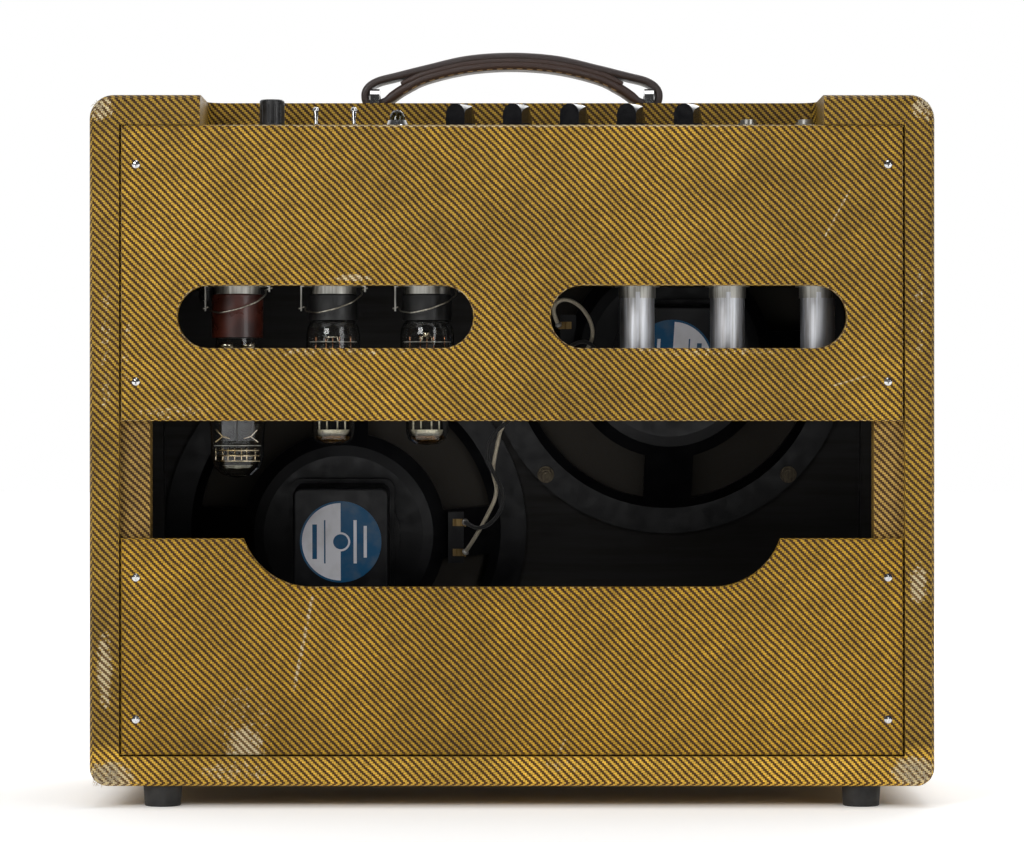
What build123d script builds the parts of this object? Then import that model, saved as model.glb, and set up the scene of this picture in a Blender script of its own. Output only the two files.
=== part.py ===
"""Open-back valve combo guitar amplifier with two ten-inch loudspeakers.

Millimetres, +Z up. The origin is on the floor under the middle of the cabinet.
The open back faces -Y and the grille faces +Y. Each sub-part is written to parts/NODE.step.
"""

from build123d import *
import os
from math import atan2, cos, degrees, pi, radians, sin, tan

# ---- Cabinet: driving dimensions ----
WIDTH = 558.8
HEIGHT = 457.2
DEPTH = 267.0
FOOT_HEIGHT = 14.0
FRONT_LEAN = 4.0
WALL = 20.0
CLOTH = 1.0
TOP_CORNER_RADIUS = 16.0
BOTTOM_CORNER_RADIUS = 12.0
EDGE_RADIUS = 7.0
REAR_LINING = 26.0
GRILLE_RECESS = 10.0

REAR = -DEPTH / 2
FRONT = DEPTH / 2
BASE = FOOT_HEIGHT
TOP = BASE + HEIGHT
INNER_X = WIDTH / 2 - WALL
FLOOR = BASE + WALL
CEILING = TOP - WALL
FRONT_FRAME = Location((0, FRONT, BASE), (FRONT_LEAN, 0, 0))

# ---- Control recess and back panels ----
RECESS_HALF_WIDTH = 206.0
RECESS_DEPTH = 78.0
RECESS_CORNER = 12.0
PANEL_HALF_WIDTH = INNER_X - 1.0
PANEL_THICKNESS = 7.0
PANEL_SETBACK = 1.0
UPPER_PANEL_BOTTOM = BASE + 241.5
UPPER_PANEL_TOP = BASE + 437.1
LOWER_PANEL_BOTTOM = FLOOR + 0.9
LOWER_PANEL_TOP = BASE + 164.0
SLOT_LENGTH = 195.4
SLOT_HEIGHT = 41.3
SLOT_X = 123.3
SLOT_Z = BASE + 310.35
DIP_FLOOR = BASE + 132.0
DIP_HALF_WIDTH = 132.5
DIP_RADIUS = 47.3
FOOT_X = [-232.0, 232.0]
FOOT_DEPTHS = [20.0, 215.0]
FOOT_RADIUS = 13.0
FOOT_POCKET = 7.0
CLEAT_WIDTH = 19.9
CLEAT_DEPTH = 19.0
BAFFLE_CLEAT_X = 247.6
PANEL_SCREW_X = 248.3
PANEL_SCREW_HEIGHTS = [BASE + 44.5, BASE + 138.2, BASE + 267.5, BASE + 411.0]

# ---- Chassis and controls ----
CHASSIS_HALF_WIDTH = 222.0
CHASSIS_SHEET = 1.3
CHASSIS_TOP = CEILING - 0.6
DECK = BASE + 332.3
CHASSIS_NEAR = 9.5
CHASSIS_FAR = 90.0
CONTROL_DEPTH = 47.0
FUSE_X = -161.0
TOGGLE_X = {"power_toggle": -131.5, "standby_toggle": -106.0}
LAMP_X = -77.0
KNOB_X = [-33.5 + 38.2 * n for n in range(5)]
JACK_X = [157.5, 195.7]
JACK_DEPTHS = [28.0, 56.0]
JACK_BORE_RADIUS = 3.3
TOGGLE_TILT = 12.0
KNOB_REST = 60.0
KNOB_HEIGHT = 17.6
KNOB_TAIL = 7.3
GLAND_X = -206.0
GLAND_DEPTH = 76.0
CHASSIS_SCREW_X = [-214.0, 214.0]
CHASSIS_SCREW_DEPTH = 60.0

# ---- Valves ----
VALVE_DEPTH = 45.0
RECTIFIER_X = -184.1
POWER_VALVE_X = [-119.9, -56.9]
OCTAL_X = [RECTIFIER_X, *POWER_VALVE_X]
PREAMP_X = [84.0, 144.5, 204.9]
BAIL_TILT = degrees(atan2(12.0, 40.0))
BAIL_DROP = 8.5
BAIL_DIP = 20.0
BAIL_WIRE = 0.55
BAIL_HALF_WIDTH = 19.6
RECTIFIER_GLASS = [
    (14.5, 35.0),
    (15.0, 40.0),
    (19.5, 52.0),
    (22.6, 64.0),
    (23.0, 72.0),
    (21.8, 82.0),
    (18.6, 93.0),
    (17.8, 104.0),
    (17.9, 114.0),
    (15.5, 122.0),
    (10.0, 127.0),
    (0.0, 129.0),
]
POWER_GLASS = [
    (13.8, 23.4),
    (15.8, 25.2),
    (17.4, 28.5),
    (18.1, 33.0),
    (18.1, 80.0),
    (16.8, 87.0),
    (14.2, 91.0),
    (14.2, 98.0),
    (12.8, 103.0),
    (8.5, 106.0),
    (0.0, 107.0),
]
PREAMP_GLASS = [(9.0, 4.0), (10.1, 6.0), (10.1, 46.0), (8.6, 50.0), (4.0, 52.0), (0.0, 53.0)]

# ---- Loudspeakers ----
BAFFLE_THICKNESS = 16.0
BAFFLE_REAR = -(GRILLE_RECESS + CLOTH + BAFFLE_THICKNESS)
SPEAKER_X = {"lower": -118.5, "upper": 110.5}
SPEAKER_UP = {"lower": 167.0, "upper": 292.5}
SPEAKER_HOLE = 115.0
FLANGE_RADIUS = 128.6
BOLT_CIRCLE = 122.2
DISH_RADIUS = 62.0
DISH_BACK = 48.0
MAGNET_BACK = 97.0
LABEL_RADIUS = 28.2
LUG_SPACING = 21.2
TERMINAL_SHIFT = {"lower": -2.2, "upper": -11.2}
TERMINAL_REACH = {"lower": 79.0, "upper": 71.0}
TERMINAL_HEIGHT = 41.0
LEAD_DIAMETER = 2.8

# ---- Handle ----
HANDLE_DEPTH = 157.0
HANDLE_WIDTH = 25.0
STAPLE_X = 95.2
STAPLE_LEG_Y = 15.6
STAPLE_RISE = 13.0
STAPLE_SCREW_Y = STAPLE_LEG_Y + 6.2
STAPLE_SCREWS = [(x, y) for x in (-STAPLE_X, STAPLE_X) for y in (-STAPLE_SCREW_Y, STAPLE_SCREW_Y)]
STRAP_CREST = [
    (-104.6, 13.5),
    (-100.0, 20.1),
    (-92.1, 24.1),
    (-80.7, 26.6),
    (-59.3, 31.9),
    (-30.9, 38.3),
    (0.0, 40.4),
]
STRAP_BELLY = [
    (-104.6, 6.6),
    (-100.0, 1.6),
    (-92.4, 1.2),
    (-84.4, 4.2),
    (-77.1, 10.6),
    (-59.3, 18.7),
    (-30.9, 25.9),
    (0.0, 28.4),
]
STRAP_EYE = [
    (-99.8, 6.6),
    (-99.8, 15.2),
    (-94.4, 17.4),
    (-79.4, 19.8),
    (-76.8, 19.0),
    (-86.4, 12.4),
    (-91.4, 7.2),
]

# ---- Loudspeaker leads ----
CREAM_ROUTE = [
    (32.9, 37.0, 322.5),
    (27.0, 33.0, 333.0),
    (34.0, 28.0, 341.5),
    (46.0, 25.0, 338.0),
    (55.0, 24.0, 326.0),
    (57.0, 23.5, 314.0),
    (50.0, 22.0, 301.0),
    (33.0, 19.0, 287.0),
    (11.0, 17.0, 272.0),
    (-7.0, 15.0, 254.0),
    (-11.0, 14.0, 236.0),
    (-14.0, 14.0, 220.0),
    (-9.5, 14.0, 206.0),
    (-17.0, 17.0, 190.0),
    (-25.0, 26.0, 175.0),
    (-32.9, 44.0, 163.3),
]
BLACK_ROUTE = [
    (32.9, 38.5, 301.3),
    (40.7, 30.1, 308.5),
    (51.2, 18.9, 311.9),
    (59.5, 14.4, 304.7),
    (59.0, 16.0, 292.4),
    (44.0, 15.0, 281.0),
    (26.0, 13.0, 271.5),
    (6.0, 11.0, 261.0),
    (-13.0, 9.5, 248.0),
    (-18.5, 9.5, 232.0),
    (-12.0, 9.0, 217.7),
    (-5.0, 9.5, 205.0),
    (-8.0, 11.0, 192.0),
    (-16.0, 14.0, 183.0),
    (-24.0, 19.0, 180.5),
    (-30.0, 29.0, 183.0),
    (-32.9, 45.0, 184.5),
]

SCREW_HOLE_GAP = 0.15


def block(x_range, y_range, z_range):
    """A box between three pairs of limits."""
    spans = [high - low for low, high in (x_range, y_range, z_range)]
    middle = [(low + high) / 2 for low, high in (x_range, y_range, z_range)]
    return Pos(*middle) * Box(*spans)


def upright(radius, x, depth, low, high):
    """A vertical cylinder at a depth behind the cabinet's rear plane."""
    return Pos(x, REAR + depth, (low + high) / 2) * Cylinder(radius, high - low)


def tube(outer, inner, x, depth, low, high):
    """A vertical tube."""
    return upright(outer, x, depth, low, high) - upright(inner, x, depth, low - 1, high + 1)


def group(solids):
    """Separate solids that share one node."""
    return Compound(children=[solid for part in solids for solid in part.solids()])


def turned(points, centre_x, depth, height):
    """A vertical turned solid from (radius, z) points, z measured from height."""
    profile = make_face(Polyline(*[(r, z) for r, z in points], close=True))
    return Pos(centre_x, REAR + depth, height) * revolve(Plane.XZ * profile, Axis.Z)


# ---- Cabinet ----


def front_cut(setback):
    """Everything in front of the leaning front plane, moved in by setback."""
    return FRONT_FRAME * block((-400, 400), (-setback, 200), (-200, 700))


def recess(growth):
    """The control recess in the top board, larger by growth on its cloth side."""
    half = RECESS_HALF_WIDTH + growth
    cut = block((-half, half), (REAR - 20, REAR + RECESS_DEPTH + growth), (CEILING - 5, TOP + 20))
    corners = cut.edges().filter_by(Axis.Z).group_by(Axis.Y)[-1]
    return fillet(corners, RECESS_CORNER + growth)


def cabinet_body(inset):
    """The outside of the cabinet as one rounded solid, inset on every side."""
    outline = Rectangle(WIDTH - 2 * inset, HEIGHT - 2 * inset)
    outline = fillet(outline.vertices().group_by(Axis.Y)[-1], TOP_CORNER_RADIUS - inset)
    outline = fillet(outline.vertices().group_by(Axis.Y)[0], BOTTOM_CORNER_RADIUS - inset)
    face = Pos(0, REAR + inset, BASE + HEIGHT / 2) * Rot(90, 0, 0) * outline
    body = extrude(face, DEPTH + 20, dir=(0, 1, 0)) - front_cut(inset)
    body = fillet(body.faces().sort_by(Axis.Y)[0].edges(), EDGE_RADIUS - inset)
    body = fillet(body.faces().sort_by(Axis.Y)[-1].edges(), EDGE_RADIUS - inset)
    return body - recess(inset)


def cavity(growth):
    """The hollow inside the four boards, open at both ends."""
    side = INNER_X + growth
    return block((-side, side), (REAR - 30, FRONT + 30), (FLOOR - growth, CEILING + growth))


def lined_zone():
    """The wider hollow where cloth is wrapped on to the boards' inner faces."""
    rear_zone = block((-400, 400), (REAR - 30, REAR + REAR_LINING), (0, 600))
    return cavity(CLOTH) & (rear_zone + front_cut(GRILLE_RECESS))


def boards():
    """All four boards before they are parted at the corners."""
    return cabinet_body(CLOTH) - cavity(0) - lined_zone()


def cabinet_nodes():
    whole = boards()
    foot_holes = [upright(2.2, x, depth, 0, BASE + 16) for x in FOOT_X for depth in FOOT_DEPTHS]
    staple_holes = [staple_screw_hole(x, y) for x, y in STAPLE_SCREWS]
    cover = cabinet_body(0) - cavity(0) - whole
    left = whole & block((-400, -INNER_X), (-400, 400), (0, 600))
    right = whole & block((INNER_X, 400), (-400, 400), (0, 600))
    middle = whole & block((-INNER_X, INNER_X), (-400, 400), (0, 600))
    top = middle & block((-400, 400), (-400, 400), (BASE + HEIGHT / 2, 600))
    bottom = middle & block((-400, 400), (-400, 400), (0, BASE + HEIGHT / 2))
    for hole in foot_holes:
        bottom -= hole
        cover -= hole
    for hole in staple_holes:
        top -= hole
        cover -= hole
    for x in CHASSIS_SCREW_X:
        top -= chassis_screw_hole(x)
    return {
        "side_boards": group([left, right]),
        "top_board": top,
        "bottom_board": bottom,
        "tweed_cover": cover,
        "cleats": group(cleats()),
        "feet": group(feet()),
        "foot_screws": group(foot_screws()),
    }


def cleats():
    """Upright strips that the back panels and the baffle are screwed to."""
    made = []
    for side in (-1, 1):
        inner, outer = sorted((side * (INNER_X - CLEAT_WIDTH), side * INNER_X))
        near = REAR + PANEL_SETBACK + PANEL_THICKNESS
        strip = block((inner, outer), (near, near + CLEAT_DEPTH), (FLOOR + 0.1, CEILING - 0.1))
        for height in PANEL_SCREW_HEIGHTS:
            strip -= panel_screw_hole(side * PANEL_SCREW_X, height)
        made.append(strip)
        low, high = sorted((side * BAFFLE_CLEAT_X, side * (INNER_X - 0.1)))
        made.append(FRONT_FRAME * block((low, high), (BAFFLE_REAR - 18, BAFFLE_REAR), (24, 436)))
    return made


# ---- Feet ----


def feet():
    made = []
    for x in FOOT_X:
        for depth in FOOT_DEPTHS:
            foot = Pos(x, REAR + depth, BASE / 2) * Cone(FOOT_RADIUS - 1, FOOT_RADIUS, BASE)
            foot = fillet(foot.edges().sort_by(Axis.Z)[0], 1.0)
            foot -= upright(5.2, x, depth, -1, FOOT_POCKET)
            made.append(foot - upright(2.2, x, depth, 0, BASE + 1))
    return made


def foot_screws():
    made = []
    for x in FOOT_X:
        for depth in FOOT_DEPTHS:
            head = upright(4.4, x, depth, FOOT_POCKET - 2.6, FOOT_POCKET)
            made.append(head + upright(2.0, x, depth, FOOT_POCKET - 1, BASE + 15))
    return made


# ---- Back panels ----


def panel_screw_hole(x, height):
    """The pilot hole of one back panel screw."""
    return Pos(x, REAR + 10, height) * Rot(90, 0, 0) * Cylinder(1.5 + SCREW_HOLE_GAP, 30)


def panel_screw(x, height):
    """An oval-headed cross-recessed screw, its head resting on the panel."""
    seat = REAR + PANEL_SETBACK
    profile = Polyline((0, 0), (2.9, 0), (2.6, 0.6), (1.7, 1.2), (0, 1.5), close=True)
    head = revolve(Plane.XZ * make_face(profile), Axis.Z)
    for turn in (0, 90):
        head -= Rot(0, 0, turn) * Pos(0, 0, 1.3) * Box(3.0, 0.7, 1.4)
    shank = Pos(0, 0, -10) * Cylinder(1.5, 20)
    return Pos(x, seat, height) * Rot(90, 0, 0) * (head + shank)


def panel_slab(low, high):
    near = REAR + PANEL_SETBACK
    limits = (-PANEL_HALF_WIDTH, PANEL_HALF_WIDTH), (near, near + PANEL_THICKNESS), (low, high)
    return block(*limits)


def through_y(sketch, x, z):
    """A sketch cut straight through a back panel."""
    face = Pos(x, REAR - 10, z) * Rot(90, 0, 0) * sketch
    return extrude(face, 40, dir=(0, 1, 0))


def back_panel_nodes():
    upper = panel_slab(UPPER_PANEL_BOTTOM, UPPER_PANEL_TOP)
    for side in (-1, 1):
        upper -= through_y(SlotOverall(SLOT_LENGTH, SLOT_HEIGHT), side * SLOT_X, SLOT_Z)
    lower = panel_slab(LOWER_PANEL_BOTTOM, LOWER_PANEL_TOP)
    dip_middle = DIP_FLOOR + DIP_RADIUS
    lower -= through_y(Rectangle(2 * DIP_HALF_WIDTH, 2 * DIP_RADIUS), 0, dip_middle)
    for side in (-1, 1):
        lower -= through_y(Circle(DIP_RADIUS), side * DIP_HALF_WIDTH, dip_middle)
    rounded = []
    for panel in (upper, lower):
        panel = fillet(panel.faces().sort_by(Axis.Y)[0].edges(), 1.5)
        for side in (-1, 1):
            for height in PANEL_SCREW_HEIGHTS:
                panel -= panel_screw_hole(side * PANEL_SCREW_X, height)
        rounded.append(panel)
    screws = [panel_screw(s * PANEL_SCREW_X, z) for s in (-1, 1) for z in PANEL_SCREW_HEIGHTS]
    return {
        "upper_back_panel": rounded[0],
        "lower_back_panel": rounded[1],
        "panel_screws": group(screws),
    }


# ---- Front ----


def speaker_plane(which):
    """The rear face of the baffle at one loudspeaker's axis, +Z towards the back."""
    side = -1 if which == "lower" else 1
    spot = FRONT_FRAME * Pos(SPEAKER_X[which], BAFFLE_REAR, SPEAKER_UP[which])
    lean = radians(FRONT_LEAN)
    return Plane(spot.position, x_dir=(-side, 0, 0), z_dir=(0, -cos(lean), -sin(lean)))


def front_slab(x_half, y_range, up_range):
    return FRONT_FRAME * block((-x_half, x_half), y_range, up_range)


def front_nodes():
    side = INNER_X - 0.9
    cloth_front = -GRILLE_RECESS
    baffle = front_slab(side, (BAFFLE_REAR, cloth_front - CLOTH), (22.5, 437.5))
    for which in SPEAKER_UP:
        plane = speaker_plane(which)
        baffle -= plane.location * Cylinder(SPEAKER_HOLE, 60)
        for spot in bolt_spots():
            baffle -= plane.location * Pos(*spot, -7) * Cylinder(2.4 + SCREW_HOLE_GAP, 20)
    grille = front_slab(side, (cloth_front - CLOTH, cloth_front), (22.5, 437.5))
    trims = []
    for up_range in ((22.5, 68.0), (384.0, 437.5)):
        trim = front_slab(side, (cloth_front, cloth_front + 8), up_range)
        trims.append(fillet(trim.faces().sort_by(Axis.Y)[-1].edges(), 2.0))
    return {"baffle_board": baffle, "grille_cloth": grille, "front_trim": group(trims)}


# ---- Loudspeakers, each drawn from the baffle's rear face with +Z backwards ----


def bolt_spots():
    reach = BOLT_CIRCLE * cos(radians(45))
    return [(i * reach, j * reach) for i in (-1, 1) for j in (-1, 1)]


def turned_part(points):
    """A turned solid about +Z from (radius, height) points."""
    return revolve(Plane.XZ * make_face(Polyline(*points, close=True)), Axis.Z)


def basket():
    """Pressed steel frame: flange, cone with four windows, and rear dish."""
    shell = turned_part(
        [
            (FLANGE_RADIUS, 2.0),
            (FLANGE_RADIUS, 3.6),
            (110.5, 3.6),
            (DISH_RADIUS + 1.2, DISH_BACK),
            (DISH_RADIUS - 6, DISH_BACK + 1.6),
            (24.0, DISH_BACK + 1.6),
            (24.0, DISH_BACK),
            (DISH_RADIUS - 6.4, DISH_BACK),
            (DISH_RADIUS - 1.0, DISH_BACK - 2.0),
            (107.6, 2.0),
        ]
    )
    window_ring = turned_part([(72.0, -1), (104.0, -1), (104.0, 60), (72.0, 60)])
    for turn in (0, 90):
        window_ring -= Rot(0, 0, turn) * Pos(0, 0, 30) * Box(260, 34, 80)
    shell -= window_ring
    for spot in bolt_spots():
        shell -= Pos(*spot, 3) * Cylinder(2.4 + SCREW_HOLE_GAP, 6)
    return shell - Pos(0, -BOLT_CIRCLE, 3) * Cylinder(3.4, 6)


def magnet():
    """Front plate, and the box-shaped cover over the magnet."""
    plate = Pos(0, 0, DISH_BACK + 4.6) * (Cylinder(40, 6) - Cylinder(20.6, 8))
    cover_low = DISH_BACK + 7.6
    cover = Pos(0, 0, (cover_low + MAGNET_BACK) / 2) * Box(66, 75, MAGNET_BACK - cover_low)
    cover = fillet(cover.edges().filter_by(Axis.Z), 6.0)
    cover = fillet(cover.faces().sort_by(Axis.Z)[-1].edges(), 2.0)
    lip = Pos(0, 0, cover_low + 1.5) * Box(72, 81, 3)
    lip = fillet(lip.edges().filter_by(Axis.Z), 7.0)
    hollow = Pos(0, 0, cover_low + 7.5) * Cylinder(24, 15.1)
    return [plate, cover + lip - hollow]


def label():
    return Pos(0, 0, MAGNET_BACK + 0.2) * Cylinder(LABEL_RADIUS, 0.4)


def terminals(shift, reach):
    """A board on one leg of the basket with two folded solder lugs, moved along by shift."""
    base = TERMINAL_HEIGHT
    board = Pos(reach, shift, base + 1) * Box(11, 36, 2)
    foot = Pos(reach - 4.0, 0, base - 4.2) * Box(3, 12, 8.4)
    lugs = []
    for side in (-1, 1):
        across = shift + side * LUG_SPACING / 2
        lug = Pos(reach + 2.4, across, base + 2.4) * Box(9.2, 5, 0.8)
        lugs.append(lug + Pos(reach + 6.6, across, base + 5.0) * Box(0.8, 5, 6))
    mount = board + foot - basket()
    return [mount.solids().sort_by(SortBy.VOLUME)[-1], *lugs]


def bolts():
    """Bolt, washer and nut at each flange hole; the bolt's head is under the grille."""
    made = []
    for spot in bolt_spots():
        shank = Pos(0, 0, -2.0) * Cylinder(2.4, 26)
        washer = Pos(0, 0, 4.65) * Cylinder(5.9, 2.1)
        nut = Pos(0, 0, 5.7) * extrude(RegularPolygon(4.7, 6), 3.4)
        made.append(Pos(*spot) * (shank + washer + nut))
    return made


def cone():
    """Paper cone, dust cap and voice coil, which move together."""
    paper = turned_part(
        [
            (105.0, 1.0),
            (105.0, 2.0),
            (70.0, 14.6),
            (40.0, 29.0),
            (20.4, 40.5),
            (19.3, 40.5),
            (19.3, 39.6),
            (39.4, 28.0),
            (69.4, 13.6),
        ]
    )
    inside = [(0, 24.6), (12, 26.6), (20, 31.4), (27, 35.3)]
    outside = [(19, 33.0), (11, 28.0), (0, 26.0)]
    behind = [(105, 2.2), (70, 14.8), (40, 29.2), (20.4, 40.7), (60, 60), (120, 60)]
    cap = turned_part(inside + outside) - turned_part(behind)
    coil = turned_part([(18.6, 36.0), (19.2, 36.0), (19.2, 62.0), (18.6, 62.0)])
    return [paper, cap - paper, coil]


def cone_edge():
    """Pleated edge and the gasket that clamps it, outside the cone."""
    lower = [(105.4, 1.2), (110.0, 0.0), (118.0, 0.0)]
    upper = [(118.0, 1.9), (110.2, 1.9), (105.4, 2.0)]
    return turned_part(lower + upper)


def speaker_nodes():
    shared = {name: [] for name in ("baskets", "magnets", "labels", "terminals", "bolts")}
    nodes = {}
    for which in SPEAKER_UP:
        place = speaker_plane(which).location
        shared["baskets"].append(place * basket())
        shared["magnets"] += [place * piece for piece in magnet()]
        shared["labels"].append(place * label())
        lug_board = terminals(TERMINAL_SHIFT[which], TERMINAL_REACH[which])
        shared["terminals"] += [place * piece for piece in lug_board]
        shared["bolts"] += [place * piece for piece in bolts()]
        nodes[f"cone_{which}"] = group([place * piece for piece in cone()])
        nodes[f"cone_edge_{which}"] = place * cone_edge()
    nodes.update({f"speaker_{name}": group(pieces) for name, pieces in shared.items()})
    return nodes


# ---- Chassis ----


def chassis():
    """Folded steel channel, open to the back, with the control panel as its top."""
    half, sheet = CHASSIS_HALF_WIDTH, CHASSIS_SHEET
    near, far = REAR + CHASSIS_NEAR, REAR + CHASSIS_FAR
    body = block((-half, half), (near, far), (DECK, CHASSIS_TOP))
    inside_x = (-half + sheet, half - sheet)
    inside_z = (DECK + sheet, CHASSIS_TOP - sheet)
    body -= block(inside_x, (near - 5, far - sheet), inside_z)
    holes = [upright(14.2, x, VALVE_DEPTH, DECK - 5, DECK + 5) for x in OCTAL_X]
    holes += [upright(10.2, x, VALVE_DEPTH, DECK - 5, DECK + 5) for x in PREAMP_X]
    holes.append(upright(6.2, GLAND_X, GLAND_DEPTH, DECK - 5, DECK + 5))
    top = CHASSIS_TOP - 5, CHASSIS_TOP + 5
    holes.append(upright(6.3, FUSE_X, CONTROL_DEPTH, *top))
    holes += [upright(5.8, x, CONTROL_DEPTH, *top) for x in TOGGLE_X.values()]
    holes.append(upright(5.3, LAMP_X, CONTROL_DEPTH, *top))
    holes += [upright(4.8, x, CONTROL_DEPTH, *top) for x in KNOB_X]
    holes += [upright(5.3, x, depth, *top) for x in JACK_X for depth in JACK_DEPTHS]
    holes += [chassis_screw_hole(x) for x in CHASSIS_SCREW_X]
    for hole in holes:
        body -= hole
    return body


def chassis_screw_hole(x):
    return upright(2.0 + SCREW_HOLE_GAP, x, CHASSIS_SCREW_DEPTH, CHASSIS_TOP - 8, CHASSIS_TOP + 12)


def chassis_screws():
    """Screws up through the control panel's ends into the top board."""
    made = []
    underside = CHASSIS_TOP - CHASSIS_SHEET
    for x in CHASSIS_SCREW_X:
        head = upright(4.2, x, CHASSIS_SCREW_DEPTH, underside - 2.4, underside)
        made.append(head + upright(2.0, x, CHASSIS_SCREW_DEPTH, underside - 1, CHASSIS_TOP + 11))
    return made


def mains_gland():
    """Strain relief bush in the deck; its bore takes the mains cord."""
    bush = upright(6.0, GLAND_X, GLAND_DEPTH, DECK - 9, DECK + 7)
    bush += upright(8.5, GLAND_X, GLAND_DEPTH, DECK - 2.5, DECK)
    bush += upright(7.6, GLAND_X, GLAND_DEPTH, DECK + CHASSIS_SHEET, DECK + 4.5)
    return bush - upright(3.6, GLAND_X, GLAND_DEPTH, DECK - 20, DECK + 20)


# ---- Controls ----


def hexagon(across, x, depth, low, high):
    face = Pos(x, REAR + depth, low) * RegularPolygon(across / 2, 6, major_radius=False)
    return extrude(face, high - low)


def fuse_holder():
    body = upright(6.1, FUSE_X, CONTROL_DEPTH, CHASSIS_TOP - 40, CHASSIS_TOP + 9)
    body += upright(8.8, FUSE_X, CONTROL_DEPTH, CHASSIS_TOP, CHASSIS_TOP + 1.4)
    body += hexagon(15, FUSE_X, CONTROL_DEPTH, CHASSIS_TOP - 4.6, CHASSIS_TOP - CHASSIS_SHEET)
    return body - upright(3.4, FUSE_X, CONTROL_DEPTH, CHASSIS_TOP - 32, CHASSIS_TOP + 20)


def fuse_cap():
    """Fluted bayonet cap with the fuse's carrier inside."""
    low, high = CHASSIS_TOP + 1.8, CHASSIS_TOP + 20.4
    cap = upright(8.35, FUSE_X, CONTROL_DEPTH, low, high)
    cap = fillet(cap.edges().sort_by(Axis.Z)[-1], 1.6)
    for turn in range(0, 360, 30):
        groove = Rot(0, 0, turn + 15) * Pos(8.75, 0, 0) * Cylinder(0.9, 12)
        cap -= Pos(FUSE_X, REAR + CONTROL_DEPTH, low + 9) * groove
    cap -= upright(6.5, FUSE_X, CONTROL_DEPTH, low - 1, low + 8.4)
    return cap + upright(2.9, FUSE_X, CONTROL_DEPTH, low - 30, low + 9)


def switch_body(x):
    """Toggle switch: case below the panel, threaded neck and nut above."""
    neck_top = CHASSIS_TOP + 3.4
    case_top = CHASSIS_TOP - CHASSIS_SHEET - 0.1
    low = case_top - 17
    y = REAR + CONTROL_DEPTH
    case = block((x - 7, x + 7), (y - 13, y + 13), (low, case_top))
    body = case + upright(5.6, x, CONTROL_DEPTH, case_top - 1, neck_top)
    body += hexagon(13, x, CONTROL_DEPTH, CHASSIS_TOP, CHASSIS_TOP + 2.0)
    opening = Pos(x, y, neck_top - 2.4) * Cone(3.0, 4.8, 5.0)
    return body - opening - upright(3.0, x, CONTROL_DEPTH, neck_top - 9, neck_top)


def toggle_bat(x):
    """Bat lever that leans towards the back at rest; it pivots inside the neck."""
    pivot = CHASSIS_TOP - 1.0
    pivot_end = [(0, -2.0), (1.4, -1.4), (1.9, 0), (1.15, 1.6)]
    lever = [(1.35, 8.0), (2.1, 14.5), (1.7, 16.2), (0, 16.9)]
    bat = turned_part(pivot_end + lever)
    return Pos(x, REAR + CONTROL_DEPTH, pivot) * Rot(TOGGLE_TILT, 0, 0) * bat


def pilot_bezel():
    bezel = upright(5.1, LAMP_X, CONTROL_DEPTH, CHASSIS_TOP - 30, CHASSIS_TOP + 2)
    ring = [(0, 0), (7.7, 0), (7.7, 3.6), (6.4, 6.6), (0, 6.6)]
    bezel += turned(ring, LAMP_X, CONTROL_DEPTH, CHASSIS_TOP)
    return bezel - upright(4.2, LAMP_X, CONTROL_DEPTH, CHASSIS_TOP - 26, CHASSIS_TOP + 9)


def pilot_jewel():
    seat = CHASSIS_TOP + 6.6
    dome = [(0, 0), (5.6, 0), (5.3, 2.6), (4.0, 5.2), (2.1, 6.7), (0, 7.2)]
    stem = upright(4.0, LAMP_X, CONTROL_DEPTH, seat - 6, seat + 1)
    return turned(dome, LAMP_X, CONTROL_DEPTH, seat) + stem


def knob(x):
    """Pointer knob: low skirt, and a tall arched bar that narrows to the pointer."""
    low, high = CHASSIS_TOP + 0.8, CHASSIS_TOP + KNOB_HEIGHT
    skirt = Pos(0, 0, low + 1.7) * Cone(9.2, 8.6, 3.4)
    one_side = [(-9.0, -KNOB_TAIL), (5.0, -4.6), (15.5, -1.1)]
    other_side = [(u, -v) for u, v in reversed(one_side)]
    outline = make_face(Polyline(*one_side, *other_side, close=True))
    bar = extrude(Pos(0, 0, low) * outline, high - low)
    shoulder = high - KNOB_TAIL
    arch = Pos(0, 0, shoulder) * Rot(0, 90, 0) * Cylinder(KNOB_TAIL, 60)
    arch += Pos(0, 0, (low + shoulder) / 2) * Box(60, 2 * KNOB_TAIL, shoulder - low)
    slope = Pos(11.5, 0, high + 3.0) * Rot(0, 38, 0) * Box(20, 20, 14)
    body = skirt + (bar & arch) - slope
    body -= Pos(0, 0, low + 5) * Cylinder(3.1, 12)
    spindle = Pos(0, 0, low + 4) * Cylinder(3.0, 13.6)
    spot = Pos(x, REAR + CONTROL_DEPTH, 0) * Rot(0, 0, KNOB_REST)
    return group([spot * body, spot * Pos(0, 0, -1.6) * spindle])


def potentiometer(x):
    """Carbon track control under the panel, with its threaded neck and nut."""
    underside = CHASSIS_TOP - CHASSIS_SHEET
    can = upright(12.0, x, CONTROL_DEPTH, underside - 13, underside - 0.1)
    neck = upright(4.6, x, CONTROL_DEPTH, underside - 1, CHASSIS_TOP + 0.5)
    return can + neck - upright(3.06, x, CONTROL_DEPTH, CHASSIS_TOP - 8.6, CHASSIS_TOP + 6)


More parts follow.
